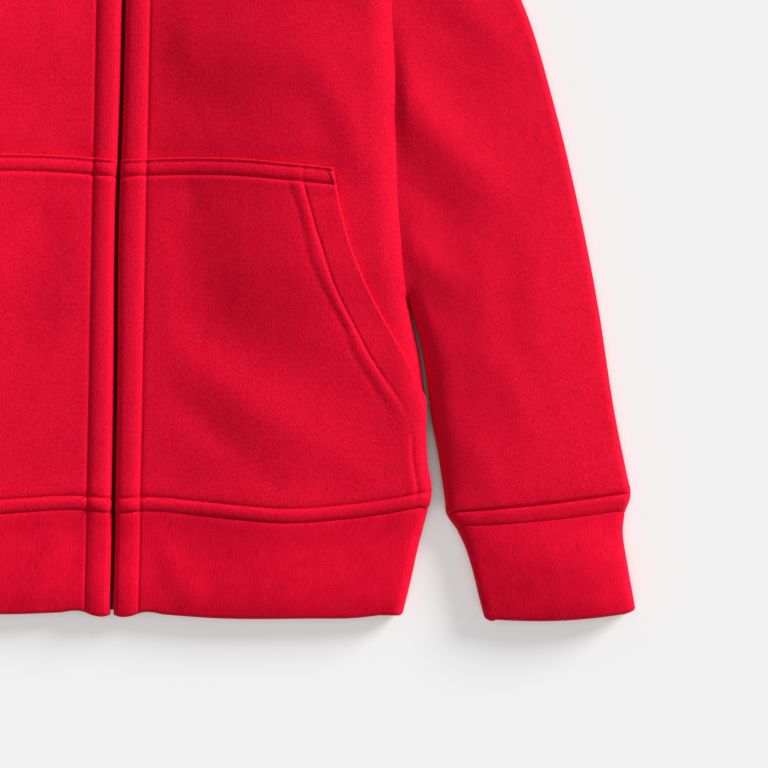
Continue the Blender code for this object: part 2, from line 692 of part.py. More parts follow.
def neck_columns():
    """Columns of the front along the neck seam, where the hood starts."""
    edge = HOOD_STATIONS[-1][3]
    turned = [edge + share * (FRONT_STITCH - edge) for share, _ in FRONT_RIDGE]
    return turned + [x for x in BODY_COLUMNS if x <= NECK_POINT[0]]


def hood_row(number, depth):
    table = numbered(HOOD_STATIONS)
    seam_height, outline_x, outline_y, edge_x, edge_y = [
        smooth(table, number, column) for column in range(1, 6)]
    columns = neck_columns()
    first = columns[0]
    if number == len(HOOD_STATIONS) - 1:
        lower = [(max(x, SEAM_GAP / 2), back_neck(x) + SEAM_GAP / 2) for x in BACK_COLUMNS
                 if x <= NECK_POINT[0]]
        upper = [(x, front_neck(x) + SEAM_GAP / 2) for x in reversed(columns)]
    else:
        seam = np.array((SEAM_GAP / 2, seam_height))
        outline = np.array((max(outline_x, SEAM_GAP / 2), outline_y))
        edge = np.array((max(edge_x, SEAM_GAP / 2), edge_y))
        turn = BACK_COLUMNS[FLAT_COLUMNS]
        lower = spread(seam, outline, [x / turn for x in BACK_COLUMNS[:FLAT_COLUMNS]])
        turn = BODY_COLUMNS[FLAT_COLUMNS]
        flat = [x for x in columns if x < turn]
        upper = spread(edge, outline, [(x - first) / (turn - first) for x in flat])[::-1]
    row = [laid(x, y, HOOD_FOLDS, FOLD_RADIUS, -1, depth) for x, y in lower[:-1]]
    starts, full = HOOD_RIDGE
    ridge = float(np.clip((number - starts) / (full - starts), 0, 1))
    for place, (x, y) in enumerate(upper):
        column = columns[-1 - place]
        share = (column - first) / (NECK_POINT[0] - first)
        lift = hood_lift(share, number) * (1 - ridge) + ridge * ridge_lift(column, FRONT_NECK_HEIGHT)
        row.append(laid(x, y, HOOD_FOLDS, FOLD_RADIUS, 1, depth, 0.0 if depth else lift,
                        place == 0))
    return [(max(x, SEAM_GAP / 2), y, z) for x, y, z in row]


def spread(start, outline, shares):
    """Plan points from a seam or edge to the outline, closer together at its fold."""
    way = start - outline
    reach = float(np.linalg.norm(way))
    if reach < 4 * FOLD_RADIUS:
        return [tuple(outline + way * (1 - share)) for share in shares] + [tuple(outline)] * 3
    way = way / reach
    folded = [outline + way * back * HOOD_FOLD_SPREAD for back in ARC]
    return [tuple(start + (folded[0] - start) * share) for share in shares] + [
        tuple(spot) for spot in folded]


def make_hood():
    numbers = np.arange(0, len(HOOD_STATIONS) - 0.5, 0.5)
    outer = [hood_row(number, 0.0) for number in numbers]
    inner = [hood_row(number, FLEECE) for number in numbers]
    both_sides("hood", outer, inner, RED_FLEECE)


# ---------------------------------------------------------------- zip
def block(low, high, bevel=0.0):
    """A bevelled block between two corners."""
    data = bmesh.new()
    bmesh.ops.create_cube(data, size=1.0)
    for vert in data.verts:
        vert.co = [a + (b - a) * (part + 0.5) for a, b, part in zip(low, high, vert.co)]
    if bevel:
        bmesh.ops.bevel(data, geom=data.edges[:], offset=bevel, segments=1, affect="EDGES")
    return data


def make_zip():
    start, top = BOX_HEIGHT[0], SLIDER_HEIGHT + SLIDER_LENGTH / 2
    for name, turn in (("left", 1), ("right", -1)):
        edges = sorted((turn * (CHAIN_HALF_WIDTH + SEAM_GAP), turn * TAPE_EDGE))
        data = block((edges[0], start, TAPE_BASE), (edges[1], top, TAPE_TOP), 0.15)
        add_object("zip_tape_" + name, data, RED_TAPE)
    foot = SLIDER_HEIGHT - SLIDER_LENGTH / 2
    data = block((-CHAIN_HALF_WIDTH, BOX_HEIGHT[1] + SEAM_GAP, CHAIN_BASE),
                 (CHAIN_HALF_WIDTH, foot, CHAIN_TOP), 0.4)
    add_object("zip_chain", data, RED_PLASTIC)
    data = block((-CHAIN_HALF_WIDTH, BOX_HEIGHT[0], CHAIN_BASE),
                 (CHAIN_HALF_WIDTH, BOX_HEIGHT[1], CHAIN_TOP), 0.5)
    add_object("zip_box", data, RED_PLASTIC)


def make_slider():
    """Two plates held apart by a post at the centre line, with a bridge for the pull."""
    foot, head = SLIDER_HEIGHT - SLIDER_LENGTH / 2, SLIDER_HEIGHT + SLIDER_LENGTH / 2
    side = SLIDER_HALF_WIDTH
    axis, high = PULL_AXIS
    plate = CHAIN_TOP + SEAM_GAP
    under, under_top = SLIDER_UNDER
    post, post_end = SLIDER_POST
    near, far = BRIDGE_SLOT, BRIDGE_SLOT + BRIDGE_LEG
    wide, low = BRIDGE_WIDTH / 2, plate + SLIDER_SINK
    bar = BRIDGE_SLOT + BRIDGE_LEG * BRIDGE_BAR
    narrow = wide - 0.05     # no two faces of the bridge lie in one plane
    parts = [
        ((-side, foot, plate), (side, head, plate + SLIDER_PLATE), 0.35),
        ((-side, foot, under), (side, head, under_top), 0.3),
        ((-post, foot + SEAM_GAP, under_top - SLIDER_SINK), (post, head - post_end,
                                                              plate + SLIDER_SINK), 0.0),
        ((-wide, axis - far, low), (wide, axis - near, high + far), 0.2),
        ((-wide, axis + near, low), (wide, axis + far, high + far), 0.2),
        ((-narrow, axis - bar, high + near), (narrow, axis + bar, high + far - 0.1), 0.15)]
    first = add_object("zip_slider", block(*parts[0]), RED_METAL)
    for number, corners in enumerate(parts[1:]):
        tool = add_object(f"slider_tool_{number}", block(*corners), RED_METAL)
        tool.hide_render = True
        tool.display_type = "WIRE"
        union = first.modifiers.new(f"union_{number}", "BOOLEAN")
        union.operation = "UNION"
        union.object = tool


def make_pull():
    """A flat tab with a slot at its end, which the slider's bridge passes through."""
    axis, high = PULL_AXIS
    bar, hole = PULL_BAR / 2, PULL_SLOT
    far = axis - PULL_LENGTH
    lines = ((axis + bar, PULL_HALF_WIDTH - 0.8), (axis - bar, PULL_HALF_WIDTH),
             (axis - hole, PULL_HALF_WIDTH), (axis - hole - 2.0, PULL_HALF_WIDTH - 0.5),
             (far + 5.0, PULL_HALF_WIDTH - 0.3), (far + 1.2, PULL_HALF_WIDTH - 0.4),
             (far, PULL_HALF_WIDTH - 1.5))
    inside = BRIDGE_WIDTH / 2 + PULL_CLEARANCE
    data = bmesh.new()
    base = high - PULL_THICK / 2
    rows = [[data.verts.new((x, y, base)) for x in (-wide, -min(inside, wide - 0.5),
                                                   min(inside, wide - 0.5), wide)]
            for y, wide in lines]
    for r in range(len(rows) - 1):
        for c in range(3):
            if r == 1 and c == 1:
                continue
            data.faces.new((rows[r][c], rows[r][c + 1], rows[r + 1][c + 1], rows[r + 1][c]))
    raised = bmesh.ops.extrude_face_region(data, geom=data.faces[:])
    for vert in raised["geom"]:
        if isinstance(vert, bmesh.types.BMVert):
            vert.co.z += PULL_THICK
    return add_object("zip_pull", data, RED_METAL, origin=(0.0, axis, high))


# ---------------------------------------------------------------- build

def build():
    for old in list(bpy.data.objects):
        bpy.data.objects.remove(old)
    make_back()
    make_fronts()
    make_pockets()
    make_band()
    make_sleeves()
    make_cuffs()
    make_hood()
    make_zip()
    make_slider()
    make_pull()


build()
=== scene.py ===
# A child's red zip hoodie laid out flat: cloth shells, creases, stitching, zip and finishes.
# Sizes in the tables are millimetres, heights are counted up from the hem.
import math

import bpy
import numpy as np
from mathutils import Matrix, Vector


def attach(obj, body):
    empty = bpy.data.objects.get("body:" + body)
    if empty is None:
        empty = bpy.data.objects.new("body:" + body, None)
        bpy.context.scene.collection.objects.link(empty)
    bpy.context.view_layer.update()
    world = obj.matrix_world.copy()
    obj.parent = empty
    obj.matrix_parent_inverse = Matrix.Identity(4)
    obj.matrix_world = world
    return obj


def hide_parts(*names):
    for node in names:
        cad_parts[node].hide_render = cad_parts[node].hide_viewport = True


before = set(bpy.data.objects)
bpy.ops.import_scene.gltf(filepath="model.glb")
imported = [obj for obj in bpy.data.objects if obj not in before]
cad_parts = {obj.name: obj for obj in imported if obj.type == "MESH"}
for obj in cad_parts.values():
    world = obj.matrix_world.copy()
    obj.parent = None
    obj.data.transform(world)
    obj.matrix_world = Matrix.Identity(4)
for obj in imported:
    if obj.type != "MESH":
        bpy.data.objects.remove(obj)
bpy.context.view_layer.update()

mm = 0.001
hemLine = 300.0  # the hem lies this far below the frame's origin
seamGap = 0.05  # between two pieces that are sewn together


# camera, light and floor
shot = {
    "aim": (129.9, 115.5),  # the picture's middle on the garment
    "width": 372.5,  # what the picture takes in, across
    "height": 1.6,  # camera above the cloth, metres
    "clothTop": 0.009,  # the cloth's own height, metres
    "sensor": 36.0,
    "roll": 1.1,  # degrees
    "keyFrom": (0.80, 0.60),  # the key light's side, towards the hood and the wearer's left
    "keyRise": 22.0,  # degrees above the table
    "keySoft": 22.0,  # how wide the key looks, degrees
    "keyStrength": 5.0,
    "fill": 0.38,
}


def toFrame(points):
    moved = np.array(points, float)
    moved[..., 1] -= hemLine
    return moved * mm


def setCamera():
    lens = bpy.data.cameras.new("camera")
    lens.sensor_width = shot["sensor"]
    lens.lens = lens.sensor_width * shot["height"] / (shot["width"] * mm)
    camera = bpy.data.objects.new("camera", lens)
    aimX, aimY = shot["aim"]
    camera.location = (aimX * mm, (aimY - hemLine) * mm,
                       shot["height"] + shot["clothTop"])
    camera.rotation_euler = (0.0, 0.0, math.radians(shot["roll"]))
    bpy.context.collection.objects.link(camera)
    bpy.context.scene.camera = camera


def setLight():
    rise = math.radians(shot["keyRise"])
    side = Vector((*shot["keyFrom"], 0.0)).normalized() * math.cos(rise)
    towards = Vector((side.x, side.y, math.sin(rise)))
    bpy.ops.object.light_add(type="SUN")
    key = bpy.context.object
    key.name = "keyLight"
    key.data.angle = math.radians(shot["keySoft"])
    key.data.energy = shot["keyStrength"]
    key.location = towards
    key.rotation_euler = towards.to_track_quat("Z", "Y").to_euler()
    world = bpy.data.worlds.new("studio")
    world.use_nodes = True
    sky = world.node_tree.nodes["Background"].inputs
    sky["Color"].default_value = (1.0, 1.0, 1.0, 1.0)
    sky["Strength"].default_value = shot["fill"]
    bpy.context.scene.world = world
    bpy.context.scene.view_settings.view_transform = "Standard"


# shader maths and nodes
class Value:
    # a socket that Python's operators can be used on
    def __init__(self, finish, socket):
        self.finish = finish
        self.socket = socket

    def maths(self, operation, *others):
        values = {0: self.socket}
        for place, other in enumerate(others):
            values[place + 1] = other.socket if isinstance(other, Value) else other
        return self.finish.value("ShaderNodeMath", {"operation": operation}, values)

    def __rsub__(self, other):
        return (self * -1.0) + other

    def wave(self):
        # one whole wave for each unit
        return (self * (2 * math.pi)).maths("SINE")


def operator(operation):
    return lambda self, *others: self.maths(operation, *others)


for name, operation in (
        ("__add__", "ADD"), ("__radd__", "ADD"), ("__sub__", "SUBTRACT"), ("__mul__", "MULTIPLY"),
        ("__rmul__", "MULTIPLY"), ("__truediv__", "DIVIDE"), ("fraction", "FRACT"),
        ("size", "ABSOLUTE"), ("power", "POWER"), ("atLeast", "MAXIMUM"), ("atMost", "MINIMUM")):
    setattr(Value, name, operator(operation))


class Finish:
    # a material and the one way of adding nodes to it
    def __init__(self, name):
        self.material = bpy.data.materials.new(name)
        self.material.use_nodes = True
        self.tree = self.material.node_tree
        self.tree.nodes.clear()

    def node(self, kind, settings=None, values=None):
        made = self.tree.nodes.new(kind)
        for name, setting in (settings or {}).items():
            setattr(made, name, setting)
        for name, value in (values or {}).items():
            value = value.socket if isinstance(value, Value) else value
            if isinstance(value, bpy.types.NodeSocket):
                self.tree.links.new(value, made.inputs[name])
            else:
                made.inputs[name].default_value = value
        return made

    def value(self, kind, settings=None, values=None, output=0):
        return Value(self, self.node(kind, settings, values).outputs[output])

    def coordinates(self, uvMap=None):
        if uvMap:
            flat = self.node("ShaderNodeUVMap", {"uv_map": uvMap}).outputs["UV"]
        else:
            flat = self.node("ShaderNodeTexCoord").outputs["Object"]
        parts = self.node("ShaderNodeSeparateXYZ", values={"Vector": flat})
        return [Value(self, part) for part in parts.outputs]

    def grain(self, place, sizes, detail=2.0, roughness=0.5, shift=0.0):
        # noise centred on nought, its size given for each axis of the place
        values = {"Z": shift}
        for axis, part, size in zip("XYZ", place, sizes):
            values[axis] = part / (size * mm)
        spot = self.node("ShaderNodeCombineXYZ", values=values)
        noise = self.node("ShaderNodeTexNoise", values={
            "Vector": spot.outputs["Vector"], "Scale": 1.0, "Detail": detail,
            "Roughness": roughness})
        return Value(self, noise.outputs["Fac"]) - 0.5

    def grains(self, place, rows):
        # each noise of a cloth by its name, and what all of them add to its tone
        noises = {name: self.grain(place, *row[:4]) for name, row in rows.items()}
        return noises, sum(noises[name] * row[4] for name, row in rows.items())

    def mix(self, share, first, second):
        made = self.node("ShaderNodeMix", {"data_type": "RGBA"}, {0: share})
        sockets = [socket for socket in made.inputs if socket.type == "RGBA"]
        for socket, colour in zip(sockets, (first, second)):
            if isinstance(colour, bpy.types.NodeSocket):
                self.tree.links.new(colour, socket)
            else:
                socket.default_value = (*colour, 1.0)
        return [socket for socket in made.outputs if socket.type == "RGBA"][0]

    def finish(self, colour, roughness, height=None, settings=None):
        values = {"Base Color": colour, "Roughness": roughness}
        values.update(settings or {})
        if height is not None:
            bump = self.node("ShaderNodeBump", values={
                "Height": height, "Strength": 1.0, "Distance": 1.0})
            values["Normal"] = bump.outputs["Normal"]
        shader = self.node("ShaderNodeBsdfPrincipled", values=values)
        output = self.node("ShaderNodeOutputMaterial")
        self.tree.links.new(shader.outputs["BSDF"], output.inputs["Surface"])
        return self.material


cloth = {
    "light": (0.80, 0.0050, 0.036),
    "shade": (0.52, 0.0006, 0.0135),
    "middle": 0.45,  # the tone that the rest is added to
    "rough": 0.72,
    "roughNap": 0.15,
    "gloss": 0.12,
    "sheen": 0.03,
    "sheenRough": 0.45,
    "sheenColour": (1.0, 0.30, 0.38, 1.0),
    "wale": 0.84,  # width of a column of knit loops
    "course": 0.62,  # height of a row of loops
    "stagger": 0.55,  # how far a loop's middle leads its sides, in rows
    "loopTone": 0.9,
    "loopRise": 0.09,
    "napRise": 0.11,
    "pileRise": 0.10,
    "tufts": (7.0, 6.0),  # how sparse the light tufts are, and how strong
    "tuftSize": (0.9, 0.9),
    "drift": (9.0, 30.0),  # the columns of loops wander over this
    # noises: size across and along, detail, roughness, shift, share in the tone
    "grains": {
        "broken": ((0.55, 1.9), 3.0, 0.6, 0.0, 1.5),
        "nap": ((0.42, 0.42), 3.0, 0.65, 4.0, 1.9),
        "pile": ((1.5, 1.9), 2.0, 0.5, 31.0, 0.9),
        "patch": ((6.0, 9.0), 3.0, 0.55, 9.0, 0.6),
        "broad": ((40.0, 60.0), 2.0, 0.5, 15.0, 0.25),
    },
}


def dryFinish(make, look, tone, nap, height):
    # the soft dry face that fleece and ribbing share
    colour = make.mix(tone + look["middle"], look["shade"], look["light"])
    return make.finish(colour, nap * cloth["roughNap"] + cloth["rough"], height, {
        "Specular IOR Level": cloth["gloss"], "Specular Tint": cloth["sheenColour"],
        "Sheen Weight": cloth["sheen"], "Sheen Roughness": cloth["sheenRough"],
        "Sheen Tint": cloth["sheenColour"]})


def jerseyFinish():
    make = Finish("redFleece")
    u, v, _ = make.coordinates("cloth")
    noises, mottle = make.grains((u, v), cloth["grains"])
    drift = make.grain((u, v), cloth["drift"]) * 0.5
    column = ((u / (cloth["wale"] * mm) + drift).fraction() - 0.5).size() * 2.0
    row = (v / (cloth["course"] * mm) + column * cloth["stagger"]).wave()
    loop = (1.0 - column.power(2.0)) * (row * 0.22 + 0.78)
    shown = (noises["patch"] * 2.2 + 0.5).atLeast(0.1)
    sparse, strong = cloth["tufts"]
    tufts = make.grain((u, v), cloth["tuftSize"], 1.0, 0.5, 22.0) + 0.5
    tone = (loop - 0.5) * shown * cloth["loopTone"] + mottle + tufts.power(sparse) * strong
    height = (loop * shown * (cloth["loopRise"] * mm)
              + (noises["nap"] + noises["broken"]) * (cloth["napRise"] * mm)
              + noises["pile"] * (cloth["pileRise"] * mm))
    return dryFinish(make, cloth, tone, noises["nap"], height)


rib = {
    "light": (0.82, 0.0040, 0.036),
    "shade": (0.545, 0.0005, 0.0140),
    "middle": 0.47,
    "course": 0.75,
    # painted shade: how much darker the grooves between the ribs are
    "grooveShade": 0.10,
    "rowTone": 0.03,
    "rowRise": 0.01,
    "napRise": 0.09,
    "grains": {
        "nap": ((0.40, 0.6), 3.0, 0.65, 0.0, 1.9),
        "broken": ((0.8, 5.0), 3.0, 0.6, 5.0, 1.4),
        "patch": ((7.0, 9.0), 2.0, 0.5, 9.0, 0.7),
    },
}


def ribFinish():
    make = Finish("redRib")
    u, v, _ = make.coordinates("cloth")
    noises, mottle = make.grains((u, v), rib["grains"])
    # painted shade: the colour darkens in the grooves between the ribs
    groove = (u / (ribbing["pitch"] * mm)).wave() * 0.5
    row = (v / (rib["course"] * mm)).wave()
    tone = groove * rib["grooveShade"] + row * rib["rowTone"] + mottle
    height = ((noises["nap"] + noises["broken"]) * (rib["napRise"] * mm)
              + row * (rib["rowRise"] * mm))
    return dryFinish(make, rib, tone, noises["nap"], height)


board = {
    "size": 40.0,  # metres
    "below": 0.0003,  # it lies this far under the garment, metres
    "light": (0.455, 0.455, 0.455),
    "shade": (0.44, 0.44, 0.44),
    "speck": (400.0, 400.0),
    "slot": 12.0,  # walls nearer than this take its glow away
    "slotGlow": (0.22, 2.6),  # openness at which it starts to glow, and the gain from there
}


def floorFinish():
    # pale board that glows, less so in narrow slots, which keeps its open shadows light
    make = Finish("paleFloor")
    x, y, _ = make.coordinates()
    speck = make.grain((x, y), board["speck"])
    openness = make.value("ShaderNodeAmbientOcclusion", {"samples": 8},
                          {"Distance": board["slot"] * mm}, output="AO")
    start, gain = board["slotGlow"]
    lit = ((openness - start) * gain).atLeast(0.0).atMost(1.0)
    glow = make.mix(lit, (0.0, 0.0, 0.0), board["shade"])
    return make.finish(make.mix(speck + 0.5, board["shade"], board["light"]),
                       speck * 0.1 + 0.75, settings={
                           "Emission Color": glow, "Emission Strength": 1.0,
                           "Specular IOR Level": 0.1})


# lines and folds that the pieces share
body = {
    "foldRadius": 4.3,  # half the height of two laid layers
    "wall": 2.4,
    "armholeLift": 3.0,
    "underarm": 157.0,
    "shoulderPoint": (132, 372),
    "neckPoint": (73, 405),
    "frontNeck": 345.0,
    "backNeck": 398.0,
    "edge": 0.9,  # half the gap between the two front edges
    "stitch": 12.8,  # topstitch of the turned front edge, from the centre line
    "zipOpens": (300, 316, 5.2),
    # height, how far the wearer's left edge reaches past the centre line
    "gapSway": ((0, 0), (60, 0.2), (120, 0.4), (176, 1.1), (200, 1.1), (224, 0.6),
                (262, 0.1), (300, 0)),
    # share of the way from edge to topstitch, lift above the panel
    "ridge": ((0, -2.2), (0.04, -1.2), (0.1, -0.2), (0.2, 0.7), (0.33, 1.1), (0.48, 1.3),
              (0.62, 1.28), (0.76, 1.05), (0.88, 0.55), (0.95, 0.1), (1, -0.6)),
    # height, half width
    "side": (
        (0, 140.6), (5.1, 141.4), (20.7, 144.9), (32.4, 147.1), (44.1, 149.8), (55.7, 152.6),
        (62, 153.9), (68, 153.6), (75, 152.1), (90, 150.9), (107, 150.5),
        (118, 148.9), (130, 147), (142, 144.1), (154, 141.2), (166, 138.9),
        (183, 137), (202, 135.2), (232, 133.5), (268, 132.2), (302, 130),
        (335, 128.7), (357, 129.7), (372, 132)),
    # distance from the centre line, height
    "bandSeam": (
        (0, 50.6), (17.7, 51.8), (42, 50.3), (61.5, 48.7), (85, 47.6), (110, 49.6),
        (129.3, 52.4), (148.6, 56.2), (154, 57.4)),
    "gauge": 6.6,  # seam to topstitch
    "neckCurve": 2.2,
    # the front's soft form; each pair of distances is where a change starts and ends
    "rim": 13.0,  # it falls to the side over this width
    "rimCurve": 2.2,
    "crown": (2.2, 3),  # its lift at the hem, and what it gains further up
    "crownRises": (35, 130),
    "fall": 0.3,  # share of the lift that is lost towards the side
    "falls": (60, 140),
    "domeStarts": (8, 92),
    "softStarts": (13.2, 34),
    "ripples": ((0.5, 60, 4), (0.16, 22, 5)),  # height, wave length, seed
    "hollow": (0.96, 0.5),  # shares of the lift and the zip ridge that its inside follows
    "armholeRises": (-16, 18),  # from the underarm
    "neckSeam": (0.5, 2.5),  # how deep and how wide the seam is drawn in
    "backStitch": (0.4, 1.5),
    # the front is pressed flat under the pocket
    "pressed": 0.8,
    "pressedFade": 6.0,  # above the pocket
    "pressedStarts": (12, 15),
    "pressedEnds": (100, 108),
}

sleeve = {
    # inner x, inner height, outer x, outer height
    "stations": (
        (140.7, 157, 132, 372), (142.3, 151.5, 156, 357.5), (144.4, 145, 177, 332),
        (147.3, 135, 195.5, 298), (150.4, 119, 210, 253), (153.3, 99, 222.2, 206.6),
        (156.6, 83, 232.8, 158.2), (159.3, 67.5, 241.5, 108), (160.6, 59, 248.4, 76),
        (161.6, 52.6, 250.9, 64.4), (166.4, 45.8, 248.3, 55.6)),
    "gauge": 7.0,
    "dome": 8.2,
    # share of the dome at the top, what it gains and loses again, and the stations for each
    "swell": (0.5, 0.4, 0.15),
    "swellRises": (2, 6.5),
    "swellFalls": (7, 9.5),
    # share of the way across to the highest line at the top, and what it gains further down
    "crest": (0.06, 0.36),
    "crestMoves": (2.5, 6.5),
    "steep": (0.72, 0.045),  # share that rises beside the inner fold, and over what width
    "sunkTo": (0.25, 0.75),  # how it falls past the crest, straight and curved
    "seamReach": 12.0,  # it leaves the armhole's lift over this distance
    "creaseStarts": (-1.5, 6.5),  # distances from the armhole
    "ripples": ((0.40, 55, 9), (0.13, 20, 10)),
    "heldAtSeam": 0.6,  # share of its form that is left at the cuff
    "heldOver": 45.0,
    "weltDepth": 1.3,
    "weltHigh": 26.0,
    "weltFade": 8.0,
    "beyondWelt": (0.8, 12.5, 5),  # swelling past the topstitch: lift, distance, width
}

cuff = {
    "radius": 4.9,
    # share of its length, inner x, inner height, outer x, outer height
    "stations": (
        (0, 166.4, 45.74, 248.3, 55.54), (0.17, 169.8, 39.4, 247.3, 47.4),
        (0.5, 174.4, 26.6, 249.6, 31.6), (0.84, 178.9, 9.6, 252.9, 14.8),
        (1, 181.3, 1.2, 254.3, 7.6)),
    "length": 46.0,
    "width": 76.0,
    "halfWidth": 36.0,  # at its open end
    "corner": 2.2,
    "crest": 0.72,  # share of the way across to its highest line
    "slope": 0.05,  # it falls towards its end
    "seamReach": 26.0,  # it follows the sleeve's form over this length
    "seamBow": 1.5,
    "bow": 2.3,
    "dome": 7.4,
    # how it falls from the crest to each side: share of the lift, power
    "inner": (1, 1.8),
    "outer": (0.55, 2),
    "sewnDepth": 1.3,  # the seam draws it in
    "innerHeld": 0.4,  # share of its form on the inner face
    "ripples": ((0.25, 34, 12),),
    "square": (2.4, 1.2, 12),  # how square its folds are at the seam, the gain, and over what
}

hood = {
    # height of the centre seam, outline x, outline height, front edge x, its height
    "stations": (
        (600, 0, 600, 0, 600), (579, 38, 595.5, 0, 578),
        (557, 71, 581, 0, 557), (534, 96, 558, 0, 541),
        (511, 109.5, 528, 30, 529), (488, 112.5, 497, 47.5, 502),
        (465, 107, 466, 52, 466), (442, 96, 440, 44, 428),
        (420, 83.5, 420.5, 26, 388), (398, 73, 405, 5.2, 345)),
    "hem": 22.0,  # its front edge to the topstitch
    "hemRise": 0.7,
    "edgeRadius": 1.3,
    "seam": (0.9, 1.6),  # how deep and how wide the centre seam is drawn in
    "neckSeam": (0.8, 2.2),
    "stationGap": 24.0,  # between the last two stations
    "opens": (3, 4.2),  # stations between which its two front edges part
    "softStarts": (3, 26),  # distances in from the front edge
    "ripples": ((0.4, 48, 22),),
    "foldSpread": 1.2,  # its rows lie closer together over this many fold radii
}


def curveAt(table, at, column=1):
    # smooth curve through a table whose first column is the key
    keys = np.array([row[0] for row in table], float)
    values = np.array([row[column] for row in table], float)
    slopes = np.gradient(values, keys)
    at = np.clip(np.asarray(at, float), keys[0], keys[-1])
    i = np.clip(np.searchsorted(keys, at, side="right") - 1, 0, len(keys) - 2)
    span = keys[i + 1] - keys[i]
    t = (at - keys[i]) / span
    held = (1 + 2 * t) * (1 - t) ** 2 * values[i] + t * t * (3 - 2 * t) * values[i + 1]
    turned = t * (1 - t) ** 2 * slopes[i] - t * t * (1 - t) * slopes[i + 1]
    return held + span * turned


def spotAt(table, at, column):
    # the point whose x and y stand in this column and the next
    return np.stack([curveAt(table, at, column), curveAt(table, at, column + 1)], axis=-1)


def numbered(stations):
    return [(float(number),) + tuple(row) for number, row in enumerate(stations)]


lastSleeve, lastHood = len(sleeve["stations"]) - 1, len(hood["stations"]) - 1


def past(value, start, end):
    # 0 before start, 1 after end, with soft ends
    share = np.clip((np.asarray(value, float) - start) / (end - start), 0.0, 1.0)
    return share * share * (3 - 2 * share)


def swell(distance, width):
    return np.exp(-(np.asarray(distance, float) / width) ** 2)


def sideAt(height):
    return curveAt(body["side"], height)


def seamAt(x):
    # height of the hem band's seam
    return curveAt(body["bandSeam"], x)


class FoldLines:
    # edges where the upper layer turns into the lower one; the cloth lies on their left
    def __init__(self, radius, *lines):
        self.radius = radius
        self.starts = np.concatenate([np.array(line[:-1], float) for line in lines])
        ends = np.concatenate([np.array(line[1:], float) for line in lines])
        self.steps = ends - self.starts
        self.lengths = np.linalg.norm(self.steps, axis=1)

    def nearest(self, x, y):
        spots = np.stack([np.ravel(x), np.ravel(y)], axis=1)
        distance = np.zeros(len(spots))
        toward = np.zeros((len(spots), 2))
        for start in range(0, len(spots), 4000):
            part = spots[start:start + 4000]
            reach = part[:, None, :] - self.starts[None]
            share = np.sum(reach * self.steps[None], axis=2) / self.lengths ** 2
            feet = self.starts[None] + np.clip(share, 0, 1)[..., None] * self.steps[None]
            away = part[:, None, :] - feet
            gaps = np.linalg.norm(away, axis=2)
            best = np.argmin(gaps, axis=1)
            row = np.arange(len(part))
            gap = gaps[row, best]
            step = self.steps[best] / self.lengths[best][:, None]
            inward = np.stack([-step[:, 1], step[:, 0]], axis=1)
            outside = np.sum(away[row, best] * inward, axis=1) < 0
            folded = (gap < 0.02) | (outside & (gap < 0.8))
            ways = away[row, best] / np.maximum(gap, 1e-6)[:, None]
            distance[start:start + 4000] = np.where(folded, 0.0, gap)
            toward[start:start + 4000] = np.where(folded[:, None], inward, ways)
        return distance.reshape(np.shape(x)), toward.reshape(np.shape(x) + (2,))


def sampled(stations, column, each=6):
    ticks = np.linspace(0, len(stations) - 1, (len(stations) - 1) * each + 1)
    return spotAt(numbered(stations), ticks, column)


sideFold = [(float(sideAt(h)), h) for h in np.linspace(0, body["underarm"], 62)]
outerSleeve = sampled(sleeve["stations"], 3)[::-1]
innerSleeve = sampled(sleeve["stations"], 1)
shoulder = [body["shoulderPoint"], body["neckPoint"]]
hoodOutline = sampled(hood["stations"], 2)[::-1]
laidRadius = body["foldRadius"]
bodyFolds = FoldLines(laidRadius, sideFold, shoulder, outerSleeve[-7:], hoodOutline[:7])
sleeveFolds = FoldLines(laidRadius, innerSleeve, outerSleeve, shoulder)
hoodFolds = FoldLines(laidRadius, hoodOutline, shoulder)
cuffTicks = np.linspace(0, 1, 13)
cuffFolds = FoldLines(cuff["radius"], spotAt(cuff["stations"], cuffTicks, 1),
                      spotAt(cuff["stations"], cuffTicks[::-1], 3))


def lay(x, y, folds, side, depth=0.0, lift=0.0, onFold=None, parted=0.0, way=None,
        square=2.0):
    # side +1 is the upper layer and -1 the lower; depth goes from the outer face inwards;
    # square 2 turns the fold round a circle, and more makes it tighter
    x, y = np.broadcast_arrays(np.asarray(x, float), np.asarray(y, float))
    distance, toward = folds.nearest(x, y)
    if way is not None:
        toward = np.where(way[1][..., None], way[0], toward)
    lean = np.maximum(0.0, 1.0 - distance / folds.radius)
    if onFold is not None:
        lean = np.where(onFold, 1.0, lean)
    rise = (1.0 - lean ** square) ** (1.0 / square)
    tall = np.maximum((folds.radius - depth) * rise, parted)
    return np.stack([x + toward[..., 0] * depth * lean, y + toward[..., 1] * depth * lean,
                     folds.radius + side * (tall + lift * rise)], axis=-1)
